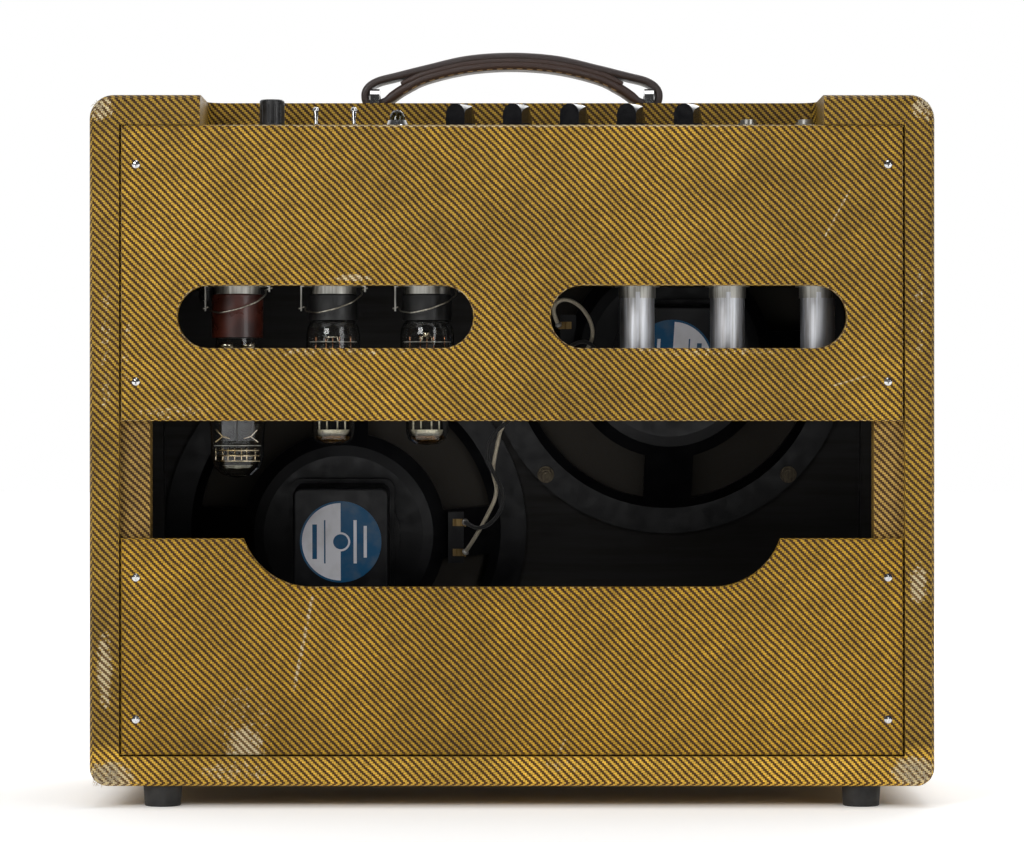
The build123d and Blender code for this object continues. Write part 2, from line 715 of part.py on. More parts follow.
def jack(x, depth):
    """Quarter-inch input socket: threaded neck, nut, and frame with contact springs."""
    underside = CHASSIS_TOP - CHASSIS_SHEET
    y = REAR + depth
    frame = block((x - 9, x + 9), (y - 9, y + 9), (underside - 26, underside - 0.1))
    frame -= block((x - 6, x + 10), (y - 6, y + 6), (underside - 23, underside - 3))
    neck = upright(5.1, x, depth, underside - 1, CHASSIS_TOP + 5.6)
    nut = hexagon(12.6, x, depth, CHASSIS_TOP, CHASSIS_TOP + 2.4)
    return frame + neck + nut - upright(JACK_BORE_RADIUS, x, depth, underside - 20, CHASSIS_TOP + 9)


def control_nodes():
    nodes = {
        "fuse_holder": fuse_holder(),
        "fuse_cap": fuse_cap(),
        "switch_bodies": group([switch_body(x) for x in TOGGLE_X.values()]),
        "pilot_bezel": pilot_bezel(),
        "pilot_jewel": pilot_jewel(),
        "potentiometers": group([potentiometer(x) for x in KNOB_X]),
        "input_jacks": group([jack(x, depth) for x in JACK_X for depth in JACK_DEPTHS]),
    }
    nodes.update({name: toggle_bat(x) for name, x in TOGGLE_X.items()})
    nodes.update({f"knob_{n + 1}": knob(x) for n, x in enumerate(KNOB_X)})
    return nodes


# ---- Valves, hanging from the deck ----


def octal_socket(x):
    return upright(14.0, x, VALVE_DEPTH, DECK - 6.0, DECK + 7.0)


def small_socket(x):
    return upright(10.0, x, VALVE_DEPTH, DECK - 4.0, DECK + 6.0)


def bail_place(x):
    """Origin of one retaining bail: its tilted hinge line crosses the valve's axis here."""
    return Location((x, REAR + VALVE_DEPTH, DECK - BAIL_DROP), (0, -BAIL_TILT, 0))


def saddle(x):
    """Steel saddle under the deck with two ears for the retaining bail."""
    plate = upright(20.0, x, VALVE_DEPTH, DECK - 0.9, DECK)
    y = REAR + VALVE_DEPTH
    rise = 21.4 * tan(radians(BAIL_TILT))
    ears = []
    for side in (-1, 1):
        low, high = sorted((x + side * 20.9, x + side * 21.9))
        bottom = DECK - BAIL_DROP + side * rise - 2.2
        ears.append(block((low, high), (y - 2.6, y + 2.6), (bottom, DECK)))
        inner, outer = sorted((x + side * 18.0, x + side * 21.9))
        ears.append(block((inner, outer), (y - 2.6, y + 2.6), (DECK - 0.9, DECK)))
    for piece in ears:
        plate += piece
    plate += upright(15.4, x, VALVE_DEPTH, DECK - 5.8, DECK)
    plate -= upright(14.2, x, VALVE_DEPTH, DECK - 7, DECK + 5)
    pin_hole = bail_place(x) * Rot(0, 90, 0) * Cylinder(BAIL_WIRE + 0.08, 60)
    return plate - pin_hole


def shield_skirt(x):
    """Bayonet skirt that the valve shield twists on to."""
    skirt = tube(12.4, 11.9, x, VALVE_DEPTH, DECK - 8.5, DECK)
    flange = tube(15.0, 10.2, x, VALVE_DEPTH, DECK - 0.9, DECK)
    notch = block((x - 1.6, x + 1.6), (REAR, REAR + VALVE_DEPTH), (DECK - 9, DECK - 4.5))
    return skirt + flange - notch


def bail(x):
    """Spring wire loop that swings under the valve's base, hinged at both ears."""
    half = BAIL_HALF_WIDTH
    points = [(half + 4.6, 0), (half, 0), (half, 10), (half - 7, 20.5), (0, 23.5)]
    points += [(-u, v) for u, v in reversed(points[:-1])]
    radii = [0.9, 7.0, 9.0, 14.0, 9.0, 7.0, 0.9]
    path = FilletPolyline(*[(u, -v, 0) for u, v in points], radius=radii)
    start = Plane(origin=path @ 0, z_dir=path % 0)
    return bail_place(x) * Rot(BAIL_DIP, 0, 0) * sweep(start * Circle(BAIL_WIRE), path=path)


def bulb(points, wall, x):
    """Hollow glass from the outer (radius, drop) points; drop is measured below the deck."""
    outer = [(r, -drop) for r, drop in points]
    inner = [(r - wall, -drop) for r, drop in points[:-1]]
    tip = (0, -points[-1][1] + wall)
    profile = make_face(Polyline(*outer, tip, *reversed(inner), close=True))
    return Pos(x, REAR + VALVE_DEPTH, DECK) * revolve(Plane.XZ * profile, Axis.Z)


def valve_base(x, radius, height):
    base = upright(radius, x, VALVE_DEPTH, DECK - 6.0 - height, DECK - 6.0)
    return fillet(base.edges().sort_by(Axis.Z)[-1], 1.2)


def valve_plates():
    """Anodes, mica spacers and support rods inside the three large valves."""
    rectifier = Pos(0, 0, -74) * Cylinder(1.2, 42) + Pos(0, 0, -66) * Box(10, 3, 24)
    for side in (-1, 1):
        rectifier += Pos(side * 9, 0, -74) * Box(10, 12, 36)
    for height in (-54, -94.4):
        rectifier += Pos(0, 0, height) * Box(32, 14, 0.8)
        rectifier += Pos(0, 0, height) * Cylinder(1.2, 6)
    power = Pos(0, 0, -59) * Box(22, 14, 38) + Pos(0, 0, -59) * Box(10, 3, 43)
    power += Pos(0, 0, -38) * Cylinder(15.5, 0.8)
    power += Pos(0, 0, -80) * Cylinder(13.5, 0.8)
    for side in (-1, 1):
        power += Pos(side * 12.5, 0, -59) * Cylinder(0.8, 44)
    placed = [Pos(RECTIFIER_X, REAR + VALVE_DEPTH, DECK) * rectifier]
    return placed + [Pos(x, REAR + VALVE_DEPTH, DECK) * power for x in POWER_VALVE_X]


def valve_shield(x):
    """Bright metal can over a small valve, open at its lower end."""
    low, high = DECK - 55.0, DECK - 3.0
    can = tube(11.6, 11.1, x, VALVE_DEPTH, low, high)
    return can + tube(11.6, 8.6, x, VALVE_DEPTH, low, low + 0.6)


def valve_nodes():
    sockets = [octal_socket(x) for x in OCTAL_X] + [small_socket(x) for x in PREAMP_X]
    saddles = [saddle(x) for x in OCTAL_X] + [shield_skirt(x) for x in PREAMP_X]
    nodes = {
        "valve_sockets": group(sockets),
        "socket_saddles": group(saddles),
        "rectifier_base": valve_base(RECTIFIER_X, 17.15, 29.0),
        "rectifier_glass": bulb(RECTIFIER_GLASS, 1.0, RECTIFIER_X),
        "power_valve_bases": group([valve_base(x, 16.5, 17.4) for x in POWER_VALVE_X]),
        "power_valve_glass": group([bulb(POWER_GLASS, 1.0, x) for x in POWER_VALVE_X]),
        "valve_plates": group(valve_plates()),
        "preamp_valves": group([bulb(PREAMP_GLASS, 0.9, x) for x in PREAMP_X]),
        "valve_shields": group([valve_shield(x) for x in PREAMP_X]),
    }
    nodes["bail_rectifier"] = bail(RECTIFIER_X)
    nodes["bail_power_left"] = bail(POWER_VALVE_X[0])
    nodes["bail_power_right"] = bail(POWER_VALVE_X[1])
    return nodes


# ---- Inside the chassis ----


def transformer(x, width, height, stack, centre_z):
    """Laminated core with end bells, bolted to the chassis's front wall."""
    near = REAR + CHASSIS_FAR
    core = Pos(x, near + stack / 2, centre_z) * Box(width, stack, height)
    bell = Pos(x, near + stack + 8, centre_z) * Box(width * 0.72, 16, height * 0.8)
    bell = fillet(bell.faces().sort_by(Axis.Y)[-1].edges(), 5.0)
    return core + bell


def circuit_board():
    y = REAR + CHASSIS_FAR - CHASSIS_SHEET - 6
    board = block((-100, 205), (y, y + 2.4), (DECK + 12, DECK + 64))
    for x in (-90, 50, 195):
        board += Pos(x, y + 4.2, DECK + 38) * Rot(90, 0, 0) * Cylinder(3, 3.6)
    return board


def capacitors():
    """Tubular capacitors on the circuit board, and the large smoothing capacitors."""
    board_face = REAR + CHASSIS_FAR - CHASSIS_SHEET - 6
    made = []
    for n in range(9):
        radius = (5.0, 4.0, 5.5)[n % 3]
        x = -84 + 34 * n
        made.append(Pos(x, board_face - radius, DECK + 38) * Cylinder(radius, 30))
    for n in range(3):
        x = -190 + 36 * n
        made.append(Pos(x, REAR + 72, DECK + 40) * Cylinder(12.5, 52))
    return made


def chassis_nodes():
    return {
        "chassis": chassis(),
        "chassis_screws": group(chassis_screws()),
        "mains_gland": mains_gland(),
        "power_transformer": transformer(-166, 96, 82, 52, DECK + 52),
        "output_transformer": transformer(-72, 70, 60, 40, DECK + 60),
        "choke": transformer(-8, 44, 38, 26, DECK + 66),
        "circuit_board": circuit_board(),
        "capacitors": group(capacitors()),
    }


# ---- Handle ----


def staple_screw_hole(x, y):
    return Pos(x, REAR + HANDLE_DEPTH + y, TOP - 6) * Cylinder(1.6 + SCREW_HOLE_GAP, 16)


def staple(x):
    """Chrome loop that stands across the strap, with a foot and a screw at each end."""
    leg = STAPLE_LEG_Y
    points = [(0, -leg, 0), (0, -leg, STAPLE_RISE), (0, leg, STAPLE_RISE), (0, leg, 0)]
    path = FilletPolyline(*points, radius=5.0)
    bar = sweep(Plane.XY * Pos(0, -leg) * Rectangle(6.4, 4.0), path=path)
    for sign in (-1, 1):
        bar += Pos(0, sign * (leg + 4.8), 0.8) * Box(8.4, 13.6, 1.6)
        screw = turned_part([(0, 0), (1.6, 0), (1.6, 9), (3.4, 9.1), (2.8, 10.4), (0, 11.2)])
        bar += Pos(0, sign * STAPLE_SCREW_Y, -7.6) * screw
    return Pos(x, REAR + HANDLE_DEPTH, TOP) * bar


def mirrored(points):
    """Left-hand points followed by the same points reflected, without repeating the middle."""
    return points + [(-x, z) for x, z in reversed(points[:-1])]


def strap():
    """Arched leather strap, looped round a staple at each end."""
    crest = Spline(*mirrored(STRAP_CREST))
    belly = Spline(*mirrored(STRAP_BELLY))
    profile = make_face([crest, Line(crest @ 1, belly @ 1), belly, Line(belly @ 0, crest @ 0)])
    eye = make_face(Polyline(*STRAP_EYE, close=True))
    profile = profile - eye - mirror(eye, Plane.YZ)
    face = Pos(0, REAR + HANDLE_DEPTH - HANDLE_WIDTH / 2, TOP) * Rot(90, 0, 0) * profile
    return extrude(face, HANDLE_WIDTH, dir=(0, 1, 0))


def handle_nodes():
    return {
        "handle_strap": strap(),
        "handle_staples": group([staple(side * STAPLE_X) for side in (-1, 1)]),
    }


# ---- Loudspeaker leads ----


def corner_radii(points):
    """The largest tangent arc that each corner's two runs allow."""
    radii = []
    for before, corner, after in zip(points, points[1:], points[2:]):
        into, out = Vector(*corner) - Vector(*before), Vector(*after) - Vector(*corner)
        half_turn = radians(into.get_angle(out)) / 2
        radii.append(0.45 * min(into.length, out.length) / tan(half_turn))
    return radii


def lead(name, points):
    radii = corner_radii(points)
    path = FilletPolyline(*points, radius=radii)
    start = Plane(origin=path @ 0, z_dir=path % 0)
    wire = sweep(start * Circle(LEAD_DIAMETER / 2), path=path)
    expected = path.length * pi * LEAD_DIAMETER**2 / 4
    print(name, "radii", [round(r, 1) for r in radii], "length", round(path.length, 1))
    print(name, "volume over section times length", round(wire.volume / expected, 4))
    return wire


def lead_nodes():
    return {
        "cream_lead": lead("cream_lead", CREAM_ROUTE),
        "black_lead": lead("black_lead", BLACK_ROUTE),
    }


def main():
    nodes = {}
    for make in (
        cabinet_nodes,
        back_panel_nodes,
        front_nodes,
        speaker_nodes,
        chassis_nodes,
        control_nodes,
        valve_nodes,
        handle_nodes,
        lead_nodes,
    ):
        nodes.update(make())
    os.makedirs("parts", exist_ok=True)
    for name, shape in nodes.items():
        export_step(shape, f"parts/{name}.step")
    print(len(nodes), "nodes written")


main()
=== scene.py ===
"""Looks of an open-back valve guitar amplifier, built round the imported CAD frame. Metres, +Z up."""

import random
from math import cos, pi, radians, sin

import bmesh
import bpy
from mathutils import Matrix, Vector


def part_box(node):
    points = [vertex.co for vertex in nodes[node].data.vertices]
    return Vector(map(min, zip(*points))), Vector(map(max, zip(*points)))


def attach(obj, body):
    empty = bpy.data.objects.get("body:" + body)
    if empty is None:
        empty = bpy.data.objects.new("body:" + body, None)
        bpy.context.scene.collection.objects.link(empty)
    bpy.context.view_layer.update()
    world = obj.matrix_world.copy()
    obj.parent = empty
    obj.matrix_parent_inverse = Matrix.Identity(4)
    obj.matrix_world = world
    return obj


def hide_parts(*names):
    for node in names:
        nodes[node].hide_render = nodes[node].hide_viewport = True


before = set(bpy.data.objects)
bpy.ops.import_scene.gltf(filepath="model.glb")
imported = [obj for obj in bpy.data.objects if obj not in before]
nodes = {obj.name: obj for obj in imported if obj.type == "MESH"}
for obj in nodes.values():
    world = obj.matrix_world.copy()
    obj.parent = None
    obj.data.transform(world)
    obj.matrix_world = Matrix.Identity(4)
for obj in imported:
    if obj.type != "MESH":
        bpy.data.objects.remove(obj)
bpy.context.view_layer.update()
BODY = "cabinet"
rng = random.Random(7)

MM = 0.001
KNOBS = 5
# REAR lies 1 mm behind the lower back panel. Parts inside the valves are measured down from DECK.
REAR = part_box("lower_back_panel")[0].y - 1 * MM
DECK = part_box("valve_sockets")[1].z - 7 * MM
PANEL_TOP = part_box("chassis")[1].z
# The strap's layers are centred on STRAP_Y and measured up from STRAP_BASE.
STRAP_Y = sum(corner.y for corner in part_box("handle_strap")) / 2
STRAP_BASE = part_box("handle_strap")[1].z - 40.4 * MM


# ---- Camera and light ----

CAMERA_DISTANCE = 2.75
CAMERA_HEIGHT = 0.2555
LENS = 146.5
SENSOR_WIDTH = 36
# Each light's name, place, target, size and power.
LIGHTS = (
    ("key", (-1.3, -2.3, 1.5), (0, 0, 0.25), (1.0, 1.0), 29),
    ("fill", (1.7, -2.2, 0.9), (0, 0, 0.25), (1.0, 1.2), 12),
    ("overhead", (0.1, -0.2, 2.0), (0, 0, 0.3), (1.4, 1.2), 11),
    ("far_side", (0.8, 2.2, 1.4), (0, 0, 0.25), (1.6, 1.4), 22),
)
# The world is dim on the camera's side and bright behind the object. These are the two ends of
# the change along Y, then the strengths there.
WORLD_CHANGE = (-0.2, 0.75, 0.05, 1.0)


def make_camera():
    data = bpy.data.cameras.new("camera")
    camera = bpy.data.objects.new("camera", data)
    bpy.context.scene.collection.objects.link(camera)
    camera.location = (0, REAR - CAMERA_DISTANCE, CAMERA_HEIGHT)
    camera.rotation_euler = (radians(90), 0, 0)
    data.lens = LENS
    data.sensor_width = SENSOR_WIDTH
    bpy.context.scene.camera = camera


def area_light(name, place, target, size, energy):
    data = bpy.data.lights.new(name, "AREA")
    data.shape = "RECTANGLE"
    data.size, data.size_y = size
    data.energy = energy
    light = bpy.data.objects.new(name, data)
    light.location = place
    light.rotation_euler = (Vector(target) - Vector(place)).to_track_quat("-Z", "Y").to_euler()
    bpy.context.scene.collection.objects.link(light)


def make_lights():
    for light in LIGHTS:
        area_light(*light)
    world = bpy.data.worlds.new("studio")
    world.use_nodes = True
    tree = world.node_tree
    tree.nodes["Background"].inputs["Color"].default_value = (1, 1, 1, 1)
    direction = tree.nodes.new("ShaderNodeTexCoord").outputs["Generated"]
    parts = tree.nodes.new("ShaderNodeSeparateXYZ")
    spread = tree.nodes.new("ShaderNodeMapRange")
    spread.interpolation_type = "SMOOTHSTEP"
    for socket, number in zip(spread.inputs[1:5], WORLD_CHANGE):
        socket.default_value = number
    tree.links.new(direction, parts.inputs[0])
    tree.links.new(parts.outputs[1], spread.inputs[0])
    tree.links.new(spread.outputs[0], tree.nodes["Background"].inputs["Strength"])
    bpy.context.scene.world = world
    bpy.context.scene.view_settings.view_transform = "Standard"


# ---- Node building ----


class Shader:
    """A principled material with short calls for the nodes that feed it."""

    def __init__(self, name, **settings):
        self.material = bpy.data.materials.new(name)
        self.material.use_nodes = True
        self.tree = self.material.node_tree
        self.bsdf = self.tree.nodes["Principled BSDF"]
        for key, value in settings.items():
            self.bsdf.inputs[key.replace("_", " ")].default_value = value
        coords = self.node("ShaderNodeTexCoord")
        self.place = coords.outputs["Object"]
        self.normal = coords.outputs["Normal"]

    def node(self, kind):
        return self.tree.nodes.new(kind)

    def put(self, socket, value):
        if isinstance(value, bpy.types.NodeSocket):
            self.tree.links.new(value, socket)
        elif hasattr(value, "__len__") and socket.type == "RGBA" and len(value) == 3:
            socket.default_value = (*value, 1)
        else:
            socket.default_value = value

    def math(self, operation, *values, clamp=False):
        made = self.node("ShaderNodeMath")
        made.operation = operation
        made.use_clamp = clamp
        for socket, value in zip(made.inputs, values):
            self.put(socket, value)
        return made.outputs[0]

    def add(self, first, second):
        return self.math("ADD", first, second)

    def minus(self, first, second):
        return self.math("SUBTRACT", first, second)

    def times(self, first, second):
        return self.math("MULTIPLY", first, second)

    def larger(self, first, second):
        return self.math("MAXIMUM", first, second)

    def vector(self, operation, *values):
        made = self.node("ShaderNodeVectorMath")
        made.operation = operation
        for socket, value in zip(made.inputs, values):
            self.put(socket, value)
        return made.outputs["Value" if operation in ("LENGTH", "DOT_PRODUCT") else "Vector"]

    def scaled(self, value, share):
        made = self.node("ShaderNodeVectorMath")
        made.operation = "SCALE"
        self.put(made.inputs[0], value)
        self.put(made.inputs["Scale"], share)
        return made.outputs[0]

    def split(self, value):
        made = self.node("ShaderNodeSeparateXYZ")
        self.put(made.inputs[0], value)
        return made.outputs[0], made.outputs[1], made.outputs[2]

    def mix(self, share, first, second):
        made = self.node("ShaderNodeMix")
        made.data_type = "RGBA"
        for index, value in ((0, share), (6, first), (7, second)):
            self.put(made.inputs[index], value)
        return made.outputs[2]

    def noise(self, scale, detail=2.0, where=None, roughness=0.5):
        made = self.node("ShaderNodeTexNoise")
        self.put(made.inputs["Vector"], self.place if where is None else where)
        made.inputs["Scale"].default_value = scale
        made.inputs["Detail"].default_value = detail
        made.inputs["Roughness"].default_value = roughness
        return made.outputs[0]

    def stretched(self, x, y, z):
        """The object's coordinates, scaled apart so that noise runs long along one direction."""
        return self.vector("MULTIPLY", self.place, (x, y, z))

    def cells(self, scale):
        made = self.node("ShaderNodeTexVoronoi")
        self.put(made.inputs["Vector"], self.place)
        made.inputs["Scale"].default_value = scale
        return made.outputs["Distance"]

    def step(self, value, low, high, to_low=0.0, to_high=1.0):
        """Eases from to_low to to_high while the value runs from low to high."""
        made = self.node("ShaderNodeMapRange")
        made.interpolation_type = "SMOOTHSTEP"
        for socket, number in zip(made.inputs, (value, low, high, to_low, to_high)):
            self.put(socket, number)
        return made.outputs[0]

    def bump(self, height, strength, distance):
        made = self.node("ShaderNodeBump")
        made.inputs["Strength"].default_value = strength
        made.inputs["Distance"].default_value = distance
        self.put(made.inputs["Height"], height)
        self.put(self.bsdf.inputs["Normal"], made.outputs[0])

    def colour(self, value):
        self.put(self.bsdf.inputs["Base Color"], value)

    def roughness(self, value):
        self.put(self.bsdf.inputs["Roughness"], value)


def plain(name, light, dark, scale, rough, bump=0.15, **settings):
    """A material with gentle variation of colour and roughness, and a fine bump."""
    shader = Shader(name, **settings)
    blotch = shader.step(shader.noise(scale, 4), 0.3, 0.7)
    shader.colour(shader.mix(blotch, dark, light))
    shader.roughness(shader.step(shader.noise(scale * 2.3, 3), 0.25, 0.75, *rough))
    shader.bump(shader.noise(scale * 12, 3), bump, 0.0004)
    return shader.material


# ---- Woven cloth ----

THREAD = 1.2375 * MM
# The twill repeats every four threads. The first two are gold, so the limit lies between 1 and 2.
TWILL_REPEAT = 4.0
GOLD_LIMIT = 1.5
THREAD_CURVE = 3.4
WOBBLE = 1.1 * MM
GRIME = (0.10, 0.05, 0.012)
RUBBED_BROWN = (0.19, 0.11, 0.045)
RUBBED_GOLD = (0.76, 0.66, 0.42)
WEAR_DEPTH = 40 * MM
EDGE_FADE = 0.22
SCRATCH_WEAR = 0.7
MOST_WORN = 0.74
# The cover is lighter in a band near the floor. These are the heights where that fades out.
FOOT_BAND = (0.034, 0.044)
GRILLE_PITCHES = (2.2 * MM, 1.6 * MM)
GRILLE_GOLD_PITCH = 8.8 * MM


def facing(shader):
    """Which of the three directions a face looks along, and how far it leans off it."""
    across, along, up = [shader.math("ABSOLUTE", part) for part in shader.split(shader.normal)]
    side = shader.math("GREATER_THAN", across, shader.larger(along, up))
    flat = shader.math("GREATER_THAN", up, shader.larger(across, along))
    lean = shader.minus(1.0, shader.larger(across, shader.larger(along, up)))
    return side, flat, lean


def cloth_coordinates(shader):
    """Two coordinates across each flat face, slightly wavy, and how far the face leans."""
    side, flat, lean = facing(shader)
    wobble = shader.times(shader.minus(shader.noise(45, 2), 0.5), WOBBLE)
    x, y, z = shader.split(shader.place)
    u = shader.add(x, shader.times(side, shader.minus(y, x)))
    v = shader.add(z, shader.times(flat, shader.minus(y, z)))
    return shader.add(u, wobble), shader.add(v, wobble), lean


def spot(shader, x, z, reach_x, reach_z):
    """One inside an oval on the rear face, given in millimetres, fading to nothing at its rim."""
    away = shader.vector("SUBTRACT", shader.place, (x * MM, REAR, z * MM))
    away = shader.vector("MULTIPLY", away, (1 / (reach_x * MM), 1 / WEAR_DEPTH, 1 / (reach_z * MM)))
    return shader.step(shader.vector("LENGTH", away), 0.35, 1.1, 1.0, 0.0)


def scratch(shader, start, end, width):
    """One along a straight line on the rear face, given in millimetres."""
    run = Vector(((end[0] - start[0]) * MM, 0, (end[1] - start[1]) * MM))
    away = shader.vector("SUBTRACT", shader.place, (start[0] * MM, 0, start[1] * MM))
    away = shader.vector("MULTIPLY", away, (1, 0, 1))
    share = shader.vector("DOT_PRODUCT", away, tuple(run / run.length_squared))
    share = shader.math("ADD", share, 0.0, clamp=True)
    nearest = shader.scaled(tuple(run), share)
    gap = shader.vector("LENGTH", shader.vector("SUBTRACT", away, nearest))
    return shader.step(gap, width * 0.3 * MM, width * MM, 1.0, 0.0)


def twill(shader, u, v):
    """Where gold threads lie on top, and the height of the rounded threads."""
    across = shader.math("DIVIDE", u, THREAD)
    upward = shader.math("DIVIDE", v, THREAD)
    order = shader.add(shader.math("FLOOR", across), shader.math("FLOOR", upward))
    order = shader.math("FLOORED_MODULO", order, TWILL_REPEAT)
    gold = shader.math("LESS_THAN", order, GOLD_LIMIT)
    rounds = []
    for value in (across, upward):
        offset = shader.minus(shader.math("FRACT", value), 0.5)
        sunk = shader.times(shader.math("POWER", offset, 2.0), THREAD_CURVE)
        rounds.append(shader.minus(1.0, sunk))
    height = shader.add(rounds[0], shader.times(gold, shader.minus(rounds[1], rounds[0])))
    return gold, height


def wear(shader, lean, spots, scratches, edge_wear, edge_from):
    """Share of bare thread at edges, in spots and along scratches, with a ragged border."""
    worn = shader.times(shader.step(lean, edge_from, edge_from + EDGE_FADE), edge_wear)
    for *oval, strength in spots:
        worn = shader.larger(worn, shader.times(spot(shader, *oval), strength))
    for start, end, width in scratches:
        line = shader.times(scratch(shader, start, end, width), SCRATCH_WEAR)
        worn = shader.larger(worn, line)
    ragged = shader.noise(160, 5, roughness=0.7)
    flecks = shader.noise(620, 2, roughness=0.6)
    torn = shader.times(shader.minus(ragged, 0.5), 1.5)
    torn = shader.add(torn, shader.times(shader.minus(flecks, 0.5), 1.6))
    torn = shader.times(torn, shader.step(worn, 0.02, 0.3))
    worn = shader.step(shader.add(worn, torn), 0.46, 0.72)
    return shader.times(worn, MOST_WORN)


def tweed(name, light, dark, spots=(), scratches=(), edge_wear=0.6, edge_from=0.05, foot_tone=1.0):
    """Two-by-two twill of gold and brown threads under lacquer, worn at edges and in spots, with painted
    shade where the rounded threads sink.
    """
    shader = Shader(name, Coat_Weight=0.04, Coat_Roughness=0.35, Specular_IOR_Level=0.2)
    u, v, lean = cloth_coordinates(shader)
    gold, height = twill(shader, u, v)
    soiled = shader.step(shader.noise(900, 1), 0.35, 0.75, 0.0, 0.35)
    base = shader.mix(soiled, shader.mix(gold, dark, light), GRIME)
    age = shader.step(shader.noise(7, 5), 0.3, 0.72, 0.78, 1.16)
    fine = shader.step(shader.noise(70, 3), 0.3, 0.7, 0.88, 1.1)
    fine = shader.times(fine, shader.step(shader.noise(850, 1), 0.3, 0.7, 0.84, 1.18))
    # Besides random mottle, the tone follows the thread height: painted shade darkens the sunk edges of the
    # threads, and their crowns stay lighter.
    tone = shader.times(shader.times(age, fine), shader.add(shader.times(height, 0.45), 0.62))
    foot = shader.step(shader.split(shader.place)[2], *FOOT_BAND, foot_tone, 1.0)
    shaded = shader.scaled(base, shader.times(tone, foot))
    rubbed = shader.mix(gold, RUBBED_BROWN, RUBBED_GOLD)
    # The bare thread in worn places gets the same painted shade from the thread height.
    rubbed = shader.scaled(rubbed, shader.add(shader.times(height, 0.5), 0.5))
    worn = wear(shader, lean, spots, scratches, edge_wear, edge_from)
    shader.colour(shader.mix(worn, shaded, rubbed))
    shader.roughness(shader.step(shader.noise(30, 3), 0.3, 0.7, 0.42, 0.62))
    shader.bump(height, 0.55, 0.0003)
    return shader.material


def grille_cloth():
    """Brown open weave with thin gold threads, near black between them, each thread painted darker towards
    its edges as shade.
    """
    shader = Shader("grille_weave", Sheen_Weight=0.2)
    x, _, z = shader.split(shader.place)
    stripes = []
    for value, pitch in zip((x, z), GRILLE_PITCHES):
        offset = shader.minus(shader.math("FRACT", shader.math("DIVIDE", value, pitch)), 0.5)
        stripes.append(shader.step(shader.math("ABSOLUTE", offset), 0.12, 0.42, 1.0, 0.0))
    height = shader.larger(stripes[0], stripes[1])
    gold = shader.math("LESS_THAN", shader.math("FRACT", shader.math("DIVIDE", x, GRILLE_GOLD_PITCH)), 0.22)
    threads = shader.mix(shader.times(gold, 0.8), (0.085, 0.035, 0.018), (0.40, 0.24, 0.07))
    # The colour follows the thread height: near black in the gaps, and painted shade darkening each thread
    # towards its edges.
    shader.colour(shader.mix(height, (0.012, 0.007, 0.005), threads))
    shader.roughness(shader.step(shader.noise(50), 0.3, 0.7, 0.7, 0.9))
    shader.bump(height, 0.6, 0.0004)
    return shader.material


# ---- Other materials ----

LABEL_RADIUS = 28.2 * MM
LABEL_DOT = 5.2 * MM
LABEL_HALO = 6.6 * MM
LABEL_RIM = LABEL_RADIUS * 0.95
LABEL_EDGE = LABEL_RADIUS * 1.1
# Each bar's place across the label, half width and half height, in millimetres.
LABEL_BARS = ((-18, 1.6, 12), (-11, 0.5, 15), (10, 1.1, 15), (17, 1.1, 11))
LABEL_SILVER = (0.74, 0.74, 0.78)
LABEL_BLUE = (0.010, 0.085, 0.19)
LABEL_STAIN = (0.25, 0.22, 0.16)


def dark_wood(name, light, dark):
    shader = Shader(name)
    grain = shader.noise(30, 6, shader.stretched(0.35, 4, 6), 0.65)
    shader.colour(shader.mix(shader.step(grain, 0.3, 0.7), dark, light))
    shader.roughness(shader.step(grain, 0.3, 0.7, 0.6, 0.85))
    shader.bump(grain, 0.3, 0.0005)
    return shader.material


def drawn_metal(name, light, dark, rough, bump=0.05):
    """Metal with fine upright drawing lines and dull patches."""
    shader = Shader(name, Metallic=1.0)
    lines = shader.noise(700, 2, shader.stretched(1, 1, 0.02))
    haze = shader.noise(70, 4, shader.stretched(1, 1, 0.3))
    shader.colour(shader.mix(shader.step(shader.add(lines, haze), 0.75, 1.25), dark, light))
    shader.roughness(shader.step(haze, 0.3, 0.7, *rough))
    shader.bump(lines, bump, 0.0001)
    return shader.material


def leather(name, light, dark):
    shader = Shader(name, Coat_Weight=0.25, Coat_Roughness=0.3, Sheen_Weight=0.15)
    pores = shader.cells(1500)
    crease = shader.noise(160, 5, shader.stretched(0.4, 2, 2), 0.65)
    shader.colour(shader.mix(shader.step(shader.add(pores, crease), 0.4, 1.1), dark, light))
    shader.roughness(shader.step(crease, 0.3, 0.7, 0.34, 0.58))
    shader.bump(shader.add(pores, crease), 0.4, 0.0005)
    return shader.material


def clear_glass(name, tint, **settings):
    """Thin blown glass with a faint smoky film."""
    shader = Shader(name, Transmission_Weight=1.0, IOR=1.35, **settings)
    film = shader.step(shader.noise(60, 3), 0.35, 0.8)
    shader.colour(shader.mix(film, tint, [channel * 0.9 for channel in tint]))
    shader.roughness(shader.step(shader.noise(30, 3), 0.4, 0.8, 0.0, 0.06))
    return shader.material


